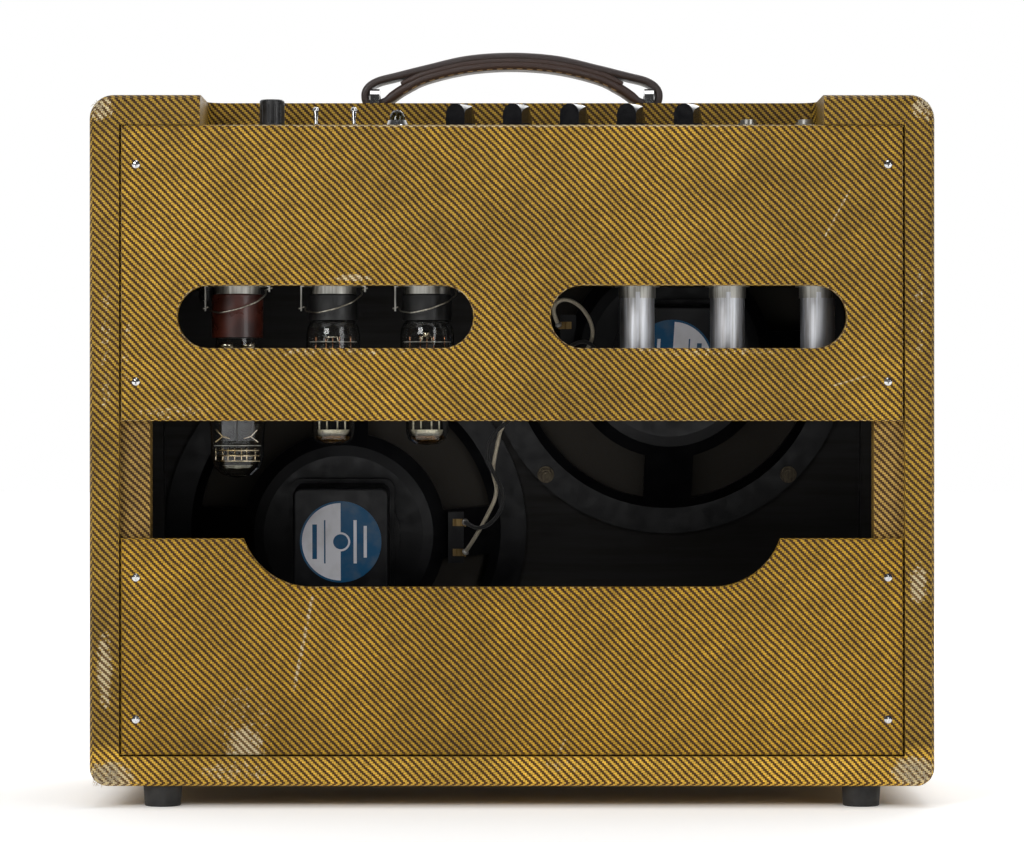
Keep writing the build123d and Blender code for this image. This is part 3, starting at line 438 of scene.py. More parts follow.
def label_mask(shader, middle_x, middle_z, divide):
    """One where a label is blue: one half, a dot and a rim. Bars swap the two colours."""
    away = shader.vector("SUBTRACT", shader.place, (middle_x, 0, middle_z))
    away = shader.vector("MULTIPLY", away, (1, 0, 1))
    reach = shader.vector("LENGTH", away)
    across = shader.vector("DOT_PRODUCT", away, divide)
    upward = shader.math("ABSOLUTE", shader.split(away)[2])
    half = shader.math("GREATER_THAN", across, 0.0)
    dot = shader.math("LESS_THAN", reach, LABEL_DOT)
    halo = shader.math("LESS_THAN", reach, LABEL_HALO)
    rim = shader.math("GREATER_THAN", reach, LABEL_RIM)
    blue = shader.larger(shader.larger(shader.minus(half, halo), dot), rim)
    for offset, half_width, half_height in LABEL_BARS:
        gap = shader.math("ABSOLUTE", shader.minus(across, offset * MM))
        bar = shader.math("LESS_THAN", gap, half_width * MM)
        bar = shader.times(bar, shader.math("LESS_THAN", upward, half_height * MM))
        blue = shader.math("ABSOLUTE", shader.minus(blue, bar))
    return shader.times(blue, shader.math("LESS_THAN", reach, LABEL_EDGE))


def label_paper():
    """Round two-tone labels with a rim, a centre dot and plain bars. They have no lettering."""
    shader = Shader("label_paper", Specular_IOR_Level=0.25)
    low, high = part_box("speaker_labels")
    first = label_mask(shader, low.x + LABEL_RADIUS, low.z + LABEL_RADIUS, (1.0, 0, 0))
    second = label_mask(shader, high.x - LABEL_RADIUS, high.z - LABEL_RADIUS, (-0.998, 0, 0.06))
    ink = shader.mix(shader.larger(first, second), LABEL_SILVER, LABEL_BLUE)
    stain = shader.step(shader.noise(90, 4), 0.4, 0.8, 0.0, 0.25)
    shader.colour(shader.mix(stain, ink, LABEL_STAIN))
    shader.roughness(shader.step(shader.noise(60), 0.3, 0.7, 0.3, 0.5))
    return shader.material


def cone_paper():
    """Dark pulp paper."""
    shader = Shader("cone_paper")
    pulp = shader.noise(400, 4)
    shader.colour(shader.mix(pulp, (0.012, 0.010, 0.008), (0.05, 0.042, 0.032)))
    shader.roughness(shader.step(pulp, 0.3, 0.7, 0.75, 0.95))
    shader.bump(pulp, 0.4, 0.0004)
    return shader.material


def cotton(name, light, dark):
    """Braided cotton sleeve, soiled along its length."""
    shader = Shader(name, Sheen_Weight=0.3)
    braid = shader.cells(1900)
    soil = shader.step(shader.noise(60, 4), 0.4, 0.75)
    shader.colour(shader.mix(shader.times(soil, 0.6), shader.mix(braid, light, dark), dark))
    shader.roughness(shader.step(braid, 0.2, 0.8, 0.6, 0.85))
    shader.bump(braid, 0.4, 0.0003)
    return shader.material


# Worn ovals on the rear face: x, z, reach along x, reach along z, all in millimetres, and how worn.
RAIL_SPOTS = [
    (-265, 20, 22, 14, 1.0),
    (265, 24, 20, 14, 1.0),
    (-181, 24, 36, 10, 0.55),
    (-269, 91, 7, 36, 0.8),
    (268, 147, 8, 20, 0.75),
    (-272, 462, 12, 12, 0.75),
    (272, 462, 12, 12, 0.75),
    (-268, 300, 5, 80, 0.4),
    (269, 330, 5, 60, 0.35),
    (35, 28, 24, 7, 0.35),
]
UPPER_SPOTS = [
    (0, 451, 268, 2.2, 0.8),
    (-106, 350, 20, 3.4, 0.8),
    (-123, 301, 84, 4, 0.42),
    (123, 301, 84, 4, 0.42),
    (-225, 262, 40, 8, 0.4),
    (200, 300, 60, 4, 0.2),
    (-254, 300, 5, 40, 0.35),
    (255, 380, 4, 60, 0.25),
]
LOWER_SPOTS = [
    (-176, 38, 18, 22, 0.85),
    (-135, 176, 6, 4, 0.7),
    (-180, 60, 34, 34, 0.35),
    (150, 60, 50, 20, 0.15),
]
# Scratches on the rear face: start and end as (x, z), then the width, all in millimetres.
UPPER_SCRATCHES = [((207, 378), (223, 408), 1.0), ((213, 279), (237, 286), 1.0)]
LOWER_SCRATCHES = [((-132, 139), (-144, 78), 2.0), ((23, 18), (35, 45), 1.2)]

GOLD = (0.525, 0.315, 0.034)
BROWN = (0.046, 0.017, 0.002)
M = {}


def make_materials():
    M["cover"] = tweed(
        "tweed_cover",
        (0.43, 0.262, 0.030),
        (0.040, 0.015, 0.002),
        RAIL_SPOTS,
        edge_wear=0.42,
        edge_from=0.16,
        foot_tone=1.9,
    )
    M["upper"] = tweed(
        "tweed_upper",
        GOLD,
        BROWN,
        UPPER_SPOTS,
        UPPER_SCRATCHES,
        edge_wear=0.75,
        edge_from=0.08,
    )
    M["lower"] = tweed(
        "tweed_lower",
        (0.545, 0.318, 0.026),
        (0.052, 0.019, 0.003),
        LOWER_SPOTS,
        LOWER_SCRATCHES,
        edge_wear=0.5,
        edge_from=0.08,
    )
    M["strip"] = tweed("tweed_strip", (0.46, 0.29, 0.07), BROWN, edge_wear=0.2, edge_from=0.2)
    M["trim"] = tweed("tweed_trim", GOLD, BROWN, edge_wear=0.4)
    M["grille"] = grille_cloth()
    M["boards"] = dark_wood("stained_boards", (0.060, 0.035, 0.018), (0.018, 0.010, 0.006))
    M["baffle"] = dark_wood("baffle_board", (0.010, 0.008, 0.006), (0.003, 0.002, 0.002))
    M["rubber"] = plain("foot_rubber", (0.030, 0.029, 0.028), (0.012, 0.012, 0.012), 60, (0.6, 0.85))
    M["zinc"] = drawn_metal("zinc_plate", (0.55, 0.54, 0.50), (0.29, 0.28, 0.25), (0.28, 0.5))
    M["bolt"] = drawn_metal("oiled_bolt", (0.12, 0.10, 0.07), (0.05, 0.04, 0.03), (0.35, 0.55))
    M["solder"] = plain("solder", (0.72, 0.70, 0.66), (0.44, 0.42, 0.38), 300, (0.15, 0.3), Metallic=0.4)
    M["wire"] = drawn_metal("spring_wire", (0.46, 0.44, 0.38), (0.22, 0.20, 0.16), (0.3, 0.5))
    M["chrome"] = drawn_metal("bright_chrome", (0.80, 0.80, 0.80), (0.56, 0.56, 0.57), (0.06, 0.18))
    M["shield"] = drawn_metal("shield_can", (0.72, 0.74, 0.78), (0.40, 0.39, 0.39), (0.34, 0.52))
    M["enamel"] = plain(
        "black_enamel", (0.006, 0.006, 0.007), (0.002, 0.002, 0.003), 50, (0.32, 0.5), Specular_IOR_Level=0.3
    )
    M["bakelite"] = plain(
        "black_phenolic", (0.018, 0.018, 0.019), (0.008, 0.008, 0.008), 90, (0.25, 0.45)
    )
    M["knob"] = plain(
        "knob_black",
        (0.008, 0.008, 0.009),
        (0.005, 0.005, 0.006),
        80,
        (0.16, 0.26),
        0.04,
        Specular_IOR_Level=0.4,
    )
    M["valve_base"] = plain(
        "valve_phenolic", (0.008, 0.008, 0.008), (0.004, 0.004, 0.004), 90, (0.35, 0.5), 0.05
    )
    M["maroon"] = plain(
        "maroon_phenolic",
        (0.070, 0.013, 0.006),
        (0.026, 0.005, 0.003),
        60,
        (0.26, 0.42),
        0.05,
        Coat_Weight=0.15,
    )
    M["outer"] = leather("handle_leather_outer", (0.034, 0.020, 0.019), (0.012, 0.007, 0.007))
    M["inner"] = leather("handle_leather_inner", (0.044, 0.019, 0.013), (0.015, 0.007, 0.005))
    M["stitch"] = cotton("stitch_thread", (0.46, 0.30, 0.13), (0.22, 0.13, 0.05))
    M["glass"] = clear_glass("valve_glass", (0.97, 0.98, 0.97))
    M["jewel"] = clear_glass("pilot_jewel", (0.11, 0.13, 0.08), Coat_Weight=0.5)
    M["anode"] = plain(
        "anode_metal", (0.12, 0.12, 0.13), (0.05, 0.05, 0.055), 120, (0.4, 0.6), Metallic=0.9
    )
    M["mica"] = plain("mica", (0.66, 0.64, 0.58), (0.42, 0.40, 0.35), 200, (0.35, 0.5), Coat_Weight=0.3)
    M["getter"] = plain(
        "getter_mirror", (0.86, 0.80, 0.68), (0.55, 0.42, 0.22), 50, (0.08, 0.25), 0.03, Metallic=1.0
    )
    M["getter_dish"] = plain(
        "getter_dish", (0.78, 0.72, 0.56), (0.52, 0.46, 0.32), 70, (0.2, 0.35), 0.03, Metallic=0.35
    )
    M["amber"] = plain(
        "amber_film", (0.20, 0.10, 0.025), (0.08, 0.035, 0.008), 90, (0.12, 0.3), 0.03, Metallic=0.7
    )
    M["copper"] = plain(
        "copper_rod", (0.62, 0.30, 0.16), (0.34, 0.15, 0.07), 150, (0.2, 0.35), 0.03, Metallic=1.0
    )
    M["label"] = label_paper()
    M["cone"] = cone_paper()
    M["lug"] = drawn_metal("tinned_brass", (0.30, 0.21, 0.09), (0.13, 0.08, 0.03), (0.3, 0.5))
    M["fibre"] = plain("fibre_board", (0.17, 0.10, 0.04), (0.09, 0.05, 0.02), 40, (0.6, 0.8))
    M["sleeve"] = plain("capacitor_sleeve", (0.50, 0.38, 0.08), (0.30, 0.21, 0.05), 50, (0.35, 0.5))
    M["cream"] = cotton("cream_cotton", (0.80, 0.72, 0.56), (0.42, 0.36, 0.25))
    M["black"] = cotton("black_cotton", (0.022, 0.021, 0.020), (0.008, 0.008, 0.008))
    M["fray"] = cotton("frayed_thread", (0.66, 0.60, 0.46), (0.34, 0.25, 0.12))
    M["mark"] = plain("panel_mark", (0.02, 0.02, 0.02), (0.01, 0.01, 0.01), 80, (0.4, 0.6))


NODE_LOOKS = {
    "tweed_cover": "cover",
    "upper_back_panel": "upper",
    "lower_back_panel": "lower",
    "cleats": "strip",
    "front_trim": "trim",
    "grille_cloth": "grille",
    "side_boards": "boards",
    "top_board": "boards",
    "bottom_board": "boards",
    "baffle_board": "baffle",
    "feet": "rubber",
    "foot_screws": "zinc",
    "panel_screws": "chrome",
    "chassis": "chrome",
    "chassis_screws": "zinc",
    "mains_gland": "bakelite",
    "fuse_holder": "bakelite",
    "fuse_cap": "bakelite",
    "switch_bodies": "chrome",
    "power_toggle": "chrome",
    "standby_toggle": "chrome",
    "pilot_bezel": "chrome",
    "pilot_jewel": "jewel",
    "potentiometers": "zinc",
    "input_jacks": "zinc",
    "valve_sockets": "bakelite",
    "socket_saddles": "zinc",
    "rectifier_base": "maroon",
    "power_valve_bases": "valve_base",
    "rectifier_glass": "glass",
    "power_valve_glass": "glass",
    "preamp_valves": "glass",
    "valve_shields": "shield",
    "power_transformer": "enamel",
    "output_transformer": "enamel",
    "choke": "enamel",
    "circuit_board": "fibre",
    "capacitors": "sleeve",
    "speaker_baskets": "enamel",
    "speaker_magnets": "enamel",
    "speaker_labels": "label",
    "speaker_terminals": "lug",
    "speaker_bolts": "bolt",
    "cone_lower": "cone",
    "cone_upper": "cone",
    "cone_edge_lower": "cone",
    "cone_edge_upper": "cone",
    "handle_staples": "chrome",
    "bail_rectifier": "wire",
    "bail_power_left": "wire",
    "bail_power_right": "wire",
}


def dress_nodes():
    for name, look in NODE_LOOKS.items():
        paint(nodes[name], look)
    # Black are only the terminals' tall boards, not their lugs, and only the cleats in front.
    two_tone(nodes["speaker_terminals"], "enamel", lambda low, high: high.z - low.z > 14 * MM)
    two_tone(nodes["cleats"], "baffle", lambda low, high: high.y > 0)
    bevel(nodes["handle_staples"], 1.3 * MM, 4)
    for number in range(1, KNOBS + 1):
        knob = nodes[f"knob_{number}"]
        paint(knob, "knob")
        bevel(knob, 0.7 * MM, 3)
    for name in ("switch_bodies", "speaker_magnets", "fuse_cap", "chassis"):
        bevel(nodes[name], 0.3 * MM, 2)


def paint(obj, look):
    obj.data.materials.clear()
    obj.data.materials.append(M[look])


def islands(mesh):
    """The box of each separate solid in a mesh."""
    tool = bmesh.new()
    tool.from_mesh(mesh)
    bmesh.ops.remove_doubles(tool, verts=tool.verts, dist=0.001 * MM)
    seen, boxes = set(), []
    for vertex in tool.verts:
        if vertex in seen:
            continue
        points, stack = [], [vertex]
        seen.add(vertex)
        while stack:
            current = stack.pop()
            points.append(current.co.copy())
            fresh = [edge.other_vert(current) for edge in current.link_edges]
            fresh = [other for other in fresh if other not in seen]
            seen.update(fresh)
            stack.extend(fresh)
        low = Vector([min(point[axis] for point in points) for axis in range(3)])
        high = Vector([max(point[axis] for point in points) for axis in range(3)])
        boxes.append((low, high))
    tool.free()
    return boxes


def two_tone(obj, look, wanted):
    """Gives the separate solids of a node whose boxes are wanted their own material."""
    obj.data.materials.append(M[look])
    slack = 0.01 * MM
    boxes = [(low, high) for low, high in islands(obj.data) if wanted(low, high)]
    for polygon in obj.data.polygons:
        points = [obj.data.vertices[index].co for index in polygon.vertices]
        for low, high in boxes:
            if all(low[n] - slack <= p[n] <= high[n] + slack for p in points for n in range(3)):
                polygon.material_index = 1


def bevel(obj, width, segments):
    made = obj.modifiers.new("rounded", "BEVEL")
    made.width = width
    made.segments = segments
    made.limit_method = "ANGLE"
    made.angle_limit = radians(40)


# ---- Mesh pieces ----

ROD_END = 0.6
ROD_SHOULDER = 0.7


def mm(x, y, z):
    """A place or a size, given in millimetres."""
    return Vector((x, y, z)) * MM


def joined(name, build, look, smooth=True):
    """A new piece on the cabinet, with the mesh that the build function draws."""
    mesh = bpy.data.meshes.new(name)
    tool = bmesh.new()
    build(tool)
    bmesh.ops.recalc_face_normals(tool, faces=tool.faces)
    tool.to_mesh(mesh)
    tool.free()
    obj = bpy.data.objects.new(name, mesh)
    bpy.context.scene.collection.objects.link(obj)
    paint(obj, look)
    for polygon in mesh.polygons:
        polygon.use_smooth = smooth
    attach(obj, BODY)
    return obj


def ring(tool, points):
    return [tool.verts.new(point) for point in points]


def skin(tool, rings, capped=True):
    """Faces between successive rings of the same count."""
    for first, second in zip(rings, rings[1:]):
        count = len(first)
        for n in range(count):
            m = (n + 1) % count
            tool.faces.new((first[n], first[m], second[m], second[n]))
    if capped:
        tool.faces.new(reversed(rings[0]))
        tool.faces.new(rings[-1])


def rod(tool, start, end, radius, sides=10):
    """A rod with rounded ends between two points."""
    start, end = Vector(start), Vector(end)
    along = (end - start).normalized()
    helper = Vector((0, 0, 1)) if abs(along.z) < 0.9 else Vector((1, 0, 0))
    first = along.cross(helper).normalized()
    second = along.cross(first)
    shoulder = along * radius * ROD_SHOULDER
    turns = [2 * pi * n / sides for n in range(sides)]
    stations = [(start, ROD_END), (start + shoulder, 1), (end - shoulder, 1), (end, ROD_END)]
    rings = []
    for middle, share in stations:
        points = [middle + (first * cos(t) + second * sin(t)) * radius * share for t in turns]
        rings.append(ring(tool, points))
    skin(tool, rings)


def slab(tool, centre, size, turn=0.0):
    """A box with its own turn about the vertical."""
    half = Vector(size) / 2
    corners = []
    for up in (-1, 1):
        for i, j in ((-1, -1), (1, -1), (1, 1), (-1, 1)):
            x, y = i * half.x, j * half.y
            turned = Vector((x * cos(turn) - y * sin(turn), x * sin(turn) + y * cos(turn), up * half.z))
            corners.append(Vector(centre) + turned)
    low, high = ring(tool, corners[:4]), ring(tool, corners[4:])
    skin(tool, [low, high])


# ---- Handle ----

# Lines of the strap's layers, from its middle to its left end, as (x, z) in millimetres. The outer
# layer follows OVER and then ROUND, round the staple. The inner one follows UNDER, and the filler
# lies between them.
OVER = [(0, 37.75), (-30.9, 35.65), (-59.3, 29.25), (-80.7, 23.9), (-92.1, 21.0), (-99.0, 17.2)]
ROUND = [(-102.1, 12.0), (-101.0, 5.8), (-95.5, 4.0), (-88.4, 6.6), (-82.0, 11.2)]
UNDER = [(0, 31.8), (-30.9, 29.6), (-59.3, 22.9), (-75.0, 15.4), (-85.0, 8.6), (-91.5, 3.9)]
FILLER = [(0, 34.8), (-30.9, 32.6), (-59.3, 26.1), (-70.0, 21.8), (-77.0, 18.6)]
STRAP_WIDTH = 25 * MM
RIM_STEPS = 8
RIM_WIDTH = 0.75
FACE_STEPS = 4
TAPER_STEPS = 12
STITCH_PITCH = 6.5 * MM
STITCH_REACH = 2.0 * MM
STITCH_RADIUS = 0.42 * MM
STITCH_ROW = 11.25 * MM
STITCH_DEPTH = 2.7 * MM


def smooth_line(points, steps=10):
    """A smooth line through given points, leaning on their neighbours."""
    points = [Vector((x * MM, 0, z * MM)) for x, z in points]
    padded = [2 * points[0] - points[1], *points, 2 * points[-1] - points[-2]]
    line = []
    for a, b, c, d in zip(padded, padded[1:], padded[2:], padded[3:]):
        for n in range(steps):
            t = n / steps
            square, cube = 2 * a - 5 * b + 4 * c - d, 3 * b - a - 3 * c + d
            line.append(0.5 * (2 * b + (c - a) * t + square * t**2 + cube * t**3))
    return line + [points[-1]]


def both_halves(points):
    """The left half, then its mirror image, from the left end to the right end."""
    left = list(reversed(points))
    return left + [(-x, z) for x, z in points[1:]]


def strap_section(thickness, crown):
    """Rounded outline of a leather strap as (across, out) points."""
    half, rim = STRAP_WIDTH / 2, thickness / 2
    points = []
    for side, start in ((1, -90), (-1, 90)):
        for n in range(RIM_STEPS + 1):
            turn = radians(start + 180 * n / RIM_STEPS)
            edge = side * (half - rim * RIM_WIDTH)
            points.append((edge + cos(turn) * rim * RIM_WIDTH, sin(turn) * rim))
        for n in range(1, FACE_STEPS):
            share = 1 - 2 * n / FACE_STEPS
            points.append((side * share * (half - rim), side * (rim + crown * (1 - share * share))))
    return points


def heading(before, after):
    """The directions along the strap's line and out of its upper face."""
    along = (after - before).normalized()
    return along, Vector((-along.z, 0, along.x))


def band(name, points, thickness, look, crown, taper=0.0):
    """One layer of the strap. The taper thins both of its ends."""

    def build(tool):
        line = smooth_line(points)
        last = len(line) - 1
        section = strap_section(thickness * MM, crown * MM)
        rings = []
        for n, station in enumerate(line):
            _, out = heading(line[max(n - 1, 0)], line[min(n + 1, last)])
            thin = 1 - taper * max(0, 1 - min(n, last - n) / TAPER_STEPS)
            middle = Vector((0, STRAP_Y, STRAP_BASE)) + station
            rings.append(ring(tool, [middle + Vector((0, u, 0)) + out * v * thin for u, v in section]))
        skin(tool, rings)

    return joined(name, build, look)


def stitches(tool):
    """A row of stitches along each edge of the strap's underside."""
    line = smooth_line(both_halves(UNDER[:4]), 40)
    travelled, last = 0.0, None
    for before, after in zip(line, line[1:]):
        travelled += (after - before).length
        if last is not None and travelled - last < STITCH_PITCH:
            continue
        last = travelled
        along, out = heading(before, after)
        for side in (-1, 1):
            row = Vector((0, STRAP_Y + side * STITCH_ROW, STRAP_BASE))
            centre = row + before - out * STITCH_DEPTH
            reach = along * STITCH_REACH
            rod(tool, centre - reach, centre + reach, STITCH_RADIUS, 8)


def make_handle():
    outer = band("handle_outer_layer", both_halves(OVER + ROUND), 5.2, "outer", 0.25, 0.35)
    band("handle_inner_layer", both_halves(UNDER), 6.6, "inner", 0.1, 0.55)
    band("handle_filler_layer", both_halves(FILLER), 4.6, "inner", 0.0, 0.4)
    joined("handle_stitching", stitches, "stitch")
    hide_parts("handle_strap")


# ---- Loudspeaker leads ----

# The leads' lines in metres, from the upper loudspeaker's lugs to the lower one's.
CREAM_ROUTE = [
    (0.0329, 0.0370, 0.3225),
    (0.0270, 0.0330, 0.3330),
    (0.0340, 0.0280, 0.3415),
    (0.0460, 0.0250, 0.3380),
    (0.0550, 0.0240, 0.3260),
    (0.0570, 0.0235, 0.3140),
    (0.0500, 0.0220, 0.3010),
    (0.0330, 0.0190, 0.2870),
    (0.0110, 0.0170, 0.2720),
    (-0.0070, 0.0150, 0.2540),
    (-0.0110, 0.0140, 0.2360),
    (-0.0140, 0.0140, 0.2200),
    (-0.0095, 0.0140, 0.2060),
    (-0.0170, 0.0170, 0.1900),
    (-0.0250, 0.0260, 0.1750),
    (-0.0329, 0.0440, 0.1633),
]
BLACK_ROUTE = [
    (0.0329, 0.0385, 0.3013),
    (0.0407, 0.0301, 0.3085),
    (0.0512, 0.0189, 0.3119),
    (0.0595, 0.0144, 0.3047),
    (0.0590, 0.0160, 0.2924),
    (0.0440, 0.0150, 0.2810),
    (0.0260, 0.0130, 0.2715),
    (0.0060, 0.0110, 0.2610),
    (-0.0130, 0.0095, 0.2480),
    (-0.0185, 0.0095, 0.2320),
    (-0.0120, 0.0090, 0.2177),
    (-0.0050, 0.0095, 0.2050),
    (-0.0080, 0.0110, 0.1920),
    (-0.0160, 0.0140, 0.1830),
    (-0.0240, 0.0190, 0.1805),
    (-0.0300, 0.0290, 0.1830),
    (-0.0329, 0.0450, 0.1845),
]
LEAD_DIAMETER = 0.0028


def make_lead(name, route, look, node):
    data = bpy.data.curves.new(name, "CURVE")
    data.dimensions = "3D"
    data.bevel_depth = LEAD_DIAMETER / 2
    data.bevel_resolution = 5
    spline = data.splines.new("NURBS")
    spline.points.add(len(route) - 1)
    for point, place in zip(spline.points, route):
        point.co = (*place, 1)
    spline.order_u = 3
    spline.use_endpoint_u = True
    spline.resolution_u = 10
    obj = bpy.data.objects.new(name, data)
    bpy.context.scene.collection.objects.link(obj)
    data.materials.append(M[look])
    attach(obj, BODY)
    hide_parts(node)


# ---- Inside the valves ----

LATHE_SIDES = 48
MICA_TEETH = 14
MICA_NOTCH = 0.86
MICA_THICKNESS = 0.45 * MM


def rectifier_centre():
    low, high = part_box("rectifier_glass")
    return Vector(((low.x + high.x) / 2, (low.y + high.y) / 2, DECK))


def power_centres():
    low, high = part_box("power_valve_bases")
    radius = (high.y - low.y) / 2
    middle = (low.y + high.y) / 2
    return [Vector((low.x + radius, middle, DECK)), Vector((high.x - radius, middle, DECK))]


def under(centre, x, y, drop):
    """A point in a hanging valve, in millimetres from its axis and down from DECK."""
    return centre + mm(x, y, -drop)


def lathe(tool, centre, outline):
    """A surface turned about a valve's axis, from (radius, drop) points in millimetres."""
    turns = [2 * pi * n / LATHE_SIDES for n in range(LATHE_SIDES)]
    rings = []
    for radius, drop in outline:
        points = [under(centre, radius * cos(t), radius * sin(t), drop) for t in turns]
        rings.append(ring(tool, points))
    skin(tool, rings, capped=False)


def rectifier_anodes(tool):
    """Two boxes side by side, each with two leaning wings and a rod."""
    centre = rectifier_centre()
    for side in (-1, 1):
        slab(tool, under(centre, side * 3.9, 0, 81), mm(6.2, 10, 46))
        for lean in (-1, 1):
            slab(tool, under(centre, side * 6, lean * 6, 81), mm(9, 0.5, 40), lean * side * 0.35)
        rod(tool, under(centre, side * 8, 0, 118), under(centre, side * 8, 0, 40), 0.5 * MM)


def rectifier_bright_work(tool):
    """Ladder under the lower spacer, forked supports above it, and two plates near the base."""
    centre = rectifier_centre()
    for drop in (110.5, 114.0, 117.5):
        slab(tool, under(centre, 0, -5.5, drop), mm(30, 1.4, 1.1))
    for x in (-14, -9.5, -6, -1.5, 3, 6.5, 12):
        rod(tool, under(centre, x, -5.5, 118), under(centre, x, -5.5, 109), 0.45 * MM, 8)
    for side in (-1, 1):
        fork = under(centre, side * 9.5, -8.5, 101)
        for x, drop in ((4.0, 96.5), (4.6, 105.0), (-5.0, 102.5)):
            rod(tool, fork, under(centre, side * (9.5 + x), -8.0, drop), 0.55 * MM, 8)
    for x in (-7, 7):
        slab(tool, under(centre, x, -6, 40.5), mm(9, 0.8, 4.6))


def mica_disc(tool, centre, drop, radius):
    """Spacer with a toothed rim that grips the glass."""
    corners = MICA_TEETH * 4
    top, bottom = [], []
    for n in range(corners):
        turn = 2 * pi * n / corners
        reach = radius * (1.0 if n % 4 < 2 else MICA_NOTCH)
        place = under(centre, reach * cos(turn), reach * sin(turn), drop)
        bottom.append(place)
        top.append(place + Vector((0, 0, MICA_THICKNESS)))
    skin(tool, [ring(tool, bottom), ring(tool, top)])


def micas(tool):
    """An upper and a lower spacer in each glass valve."""
    centre = rectifier_centre()
    mica_disc(tool, centre, 54, 15.0)
    mica_disc(tool, centre, 107.5, 15.6)
    for middle in power_centres():
        mica_disc(tool, middle, 38, 15.8)
        mica_disc(tool, middle, 81, 14.8)


def power_anodes(tool):
    """Four plates and three cross bands in each power valve."""
    for centre in power_centres():
        for side in (-1, 1):
            slab(tool, under(centre, 0, side * 5.6, 59.5), mm(17, 0.6, 40))
            slab(tool, under(centre, side * 8.5, 0, 59.5), mm(0.6, 11, 40))
        for drop in (46, 59, 72):
            slab(tool, under(centre, 0, 0, drop), mm(18.6, 12.6, 1.2))


def grid_rods(tool):
    """Five upright rods in each power valve."""
    for centre in power_centres():
        for x, y in ((-11.6, 0), (11.6, 0), (0, -7.6), (-4.5, -7.0), (4.5, -7.0)):
            rod(tool, under(centre, x, y, 84), under(centre, x, y, 34), 0.42 * MM, 8)


def getter_frames(tool):
    """Bright plates near the bases of the power valves, with two wires in each valve."""
    left, right = power_centres()
    slab(tool, under(right, -0.5, -9, 33.2), mm(4.2, 0.8, 5.6))
    slab(tool, under(right, -3.0, -9, 35.4), mm(5.0, 0.8, 1.4))
    slab(tool, under(left, -1.5, -9, 34.6), mm(8.6, 0.8, 1.1))
    for centre in (left, right):
        for x in (-4, 4):
            rod(tool, under(centre, x, -8.6, 39), under(centre, x * 0.7, -9, 34), 0.45 * MM, 8)


def getter_dishes(tool):
    """Bright shallow dish on four posts inside the bottom of each power valve."""
    for centre in power_centres():
        for x in (-9, -4, 3, 8):
            rod(tool, under(centre, x, -4.5, 97), under(centre, x, -4.5, 84), 0.6 * MM, 8)
        lathe(tool, centre, [(10.8, 96.6), (10.3, 99.2), (7.8, 101.4), (0.5, 102.6)])


def rectifier_dish(tool):
    """Shallow dish in the bottom of the rectifier."""
    lathe(tool, rectifier_centre(), [(10.5, 120.4), (8.0, 121.8), (0.5, 122.6)])


def getter_film(tool):
    """Brown film inside the rim of each power valve's bottom."""
    for centre in power_centres():
        lathe(tool, centre, [(12.0, 100.8), (11.2, 102.6), (7.4, 105), (0.6, 105.8)])


def make_valves():
    anodes = joined("rectifier_anodes", rectifier_anodes, "anode", smooth=False)
    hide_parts("valve_plates")
    joined("power_valve_anodes", power_anodes, "anode", smooth=False)
    joined("valve_micas", micas, "mica", smooth=False)
    joined("grid_rods", grid_rods, "copper")
    joined("getter_frames", getter_frames, "getter")
    joined("getter_film", getter_film, "amber")
    joined("getter_dishes", getter_dishes, "getter_dish")
    joined("rectifier_getter_dish", rectifier_dish, "getter_dish")
    joined("rectifier_bright_work", rectifier_bright_work, "getter")


# ---- Small trim ----

POTENTIOMETER_RADIUS = 12.0
KNOB_PITCH = 38.2
MARKS = 12
MARK_SWEEP = 300
MARK_REACH = 17.6 * MM
MARK_SIZE = (2.4 * MM, 0.5 * MM, 0.12 * MM)
LOOSE_THREAD_RADIUS = 0.16 * MM
# Each worn corner's x, z and reach in millimetres, and its count of loose threads.
FRAYED_CORNERS = ((-268, 22, 8, 130), (266, 24, 8, 110), (-273, 463, 3, 24), (273, 463, 3, 24))
SOLDER_RADIUS = 2.5 * MM


def dial_marks(tool):
    """Short radial marks on the control panel round each knob's skirt."""
    low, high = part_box("potentiometers")
    centre_y = (low.y + high.y) / 2
    for number in range(KNOBS):
        centre_x = low.x + (POTENTIOMETER_RADIUS + KNOB_PITCH * number) * MM
        for n in range(MARKS):
            turn = radians(90 - MARK_SWEEP / 2 + MARK_SWEEP * n / (MARKS - 1))
            x = centre_x + cos(turn) * MARK_REACH
            y = centre_y + sin(turn) * MARK_REACH
            slab(tool, (x, y, PANEL_TOP + MARK_SIZE[2] / 2), MARK_SIZE, turn)


def frayed_corner(tool, centre, reach, count):
    """Loose thread ends that stand off a worn corner."""
    for _ in range(count):
        start = Vector(
            (
                centre[0] + rng.uniform(-reach, reach),
                centre[1] + rng.uniform(-0.4, 0.6),
                centre[2] + rng.uniform(-0.7 * reach, 0.7 * reach),
            )
        )
        turn = rng.uniform(0, 2 * pi)
        length = rng.uniform(1.2, 3.4)
        end = start + Vector((cos(turn) * length, rng.uniform(-0.8, 0.2), sin(turn) * length))
        rod(tool, start * MM, end * MM, LOOSE_THREAD_RADIUS, 5)


def frayed_threads(tool):
    rear = REAR / MM
    for x, z, reach, count in FRAYED_CORNERS:
        frayed_corner(tool, (x, rear - 0.1, z), reach, count)


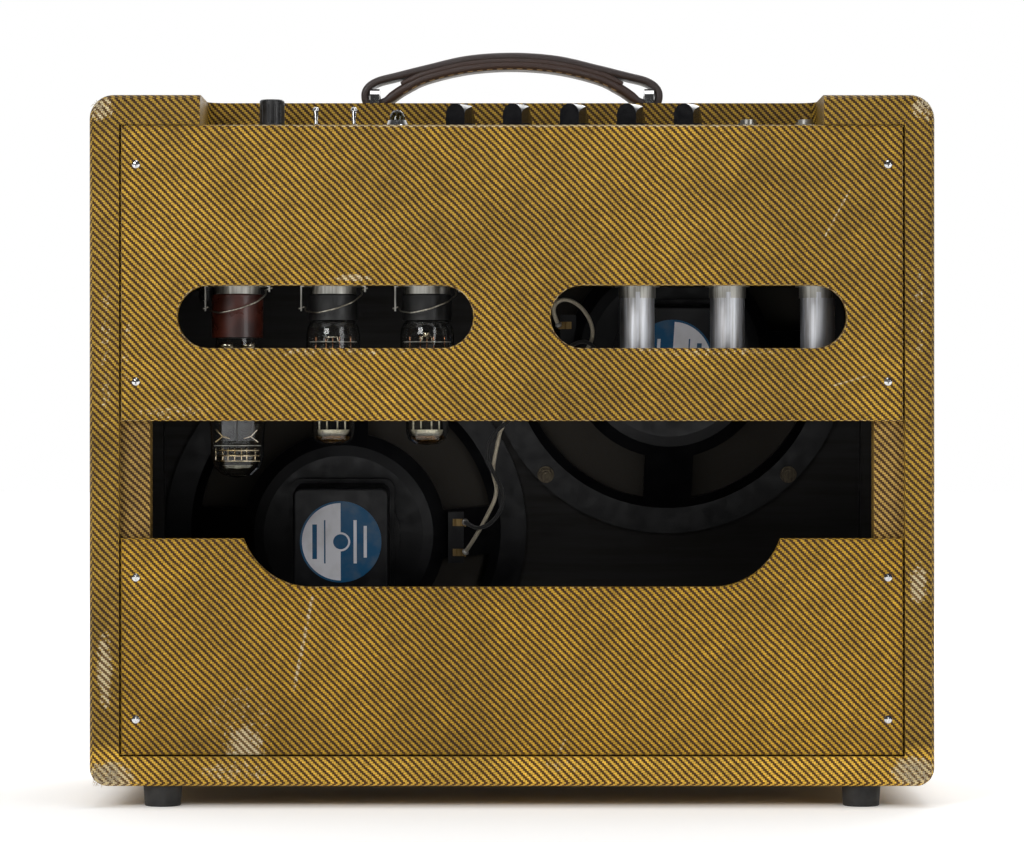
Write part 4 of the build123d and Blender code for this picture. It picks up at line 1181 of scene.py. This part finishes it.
def solder_blobs(tool):
    """Solder where each lead meets its lug."""
    for route in (CREAM_ROUTE, BLACK_ROUTE):
        for end, neighbour in ((route[0], route[1]), (route[-1], route[-2])):
            inward = (Vector(neighbour) - Vector(end)).normalized()
            start, stop = Vector(end) - inward * 1.2 * MM, Vector(end) + inward * 2.4 * MM
            rod(tool, start, stop, SOLDER_RADIUS, 12)


def make_trim():
    joined("lead_solder", solder_blobs, "solder")
    joined("dial_marks", dial_marks, "mark", smooth=False)
    joined("frayed_threads", frayed_threads, "fray")


# ---- Floor ----

FLOOR_REACH = 12
# Half the width and half the depth of the area that gets no glow, so that the shadow shows there.
SHADE = (0.275, 0.125)
NEAR_GLOW = 0.42
FAR_GLOW = 0.38


def make_floor():
    """A wide white floor. It glows a little away from the object, so that it meets the backdrop."""
    mesh = bpy.data.meshes.new("floor")
    corners = [(x * FLOOR_REACH, y * FLOOR_REACH, 0) for x, y in ((-1, -1), (1, -1), (1, 1), (-1, 1))]
    mesh.from_pydata(corners, [], [(0, 1, 2, 3)])
    floor = bpy.data.objects.new("floor", mesh)
    bpy.context.scene.collection.objects.link(floor)
    shader = Shader("pale_floor")
    shader.colour(shader.mix(shader.noise(2), (0.88, 0.88, 0.88), (0.92, 0.92, 0.92)))
    shader.roughness(0.9)
    shader.bsdf.inputs["Emission Color"].default_value = (1, 1, 1, 1)
    x, y, _ = shader.split(shader.place)
    beside = shader.minus(shader.math("ABSOLUTE", x), SHADE[0])
    behind = shader.minus(shader.math("ABSOLUTE", y), SHADE[1])
    near = shader.step(shader.larger(beside, behind), -0.04, 0.03, 0.0, NEAR_GLOW)
    far = shader.step(shader.vector("LENGTH", shader.place), 0.8, 3.0, 0.0, FAR_GLOW)
    shader.put(shader.bsdf.inputs["Emission Strength"], shader.add(near, far))
    floor.data.materials.append(shader.material)


make_camera()
make_lights()
make_materials()
make_lead("lead_cream", CREAM_ROUTE, "cream", "cream_lead")
make_lead("lead_black", BLACK_ROUTE, "black", "black_lead")
dress_nodes()
make_handle()
make_valves()
make_trim()
make_floor()
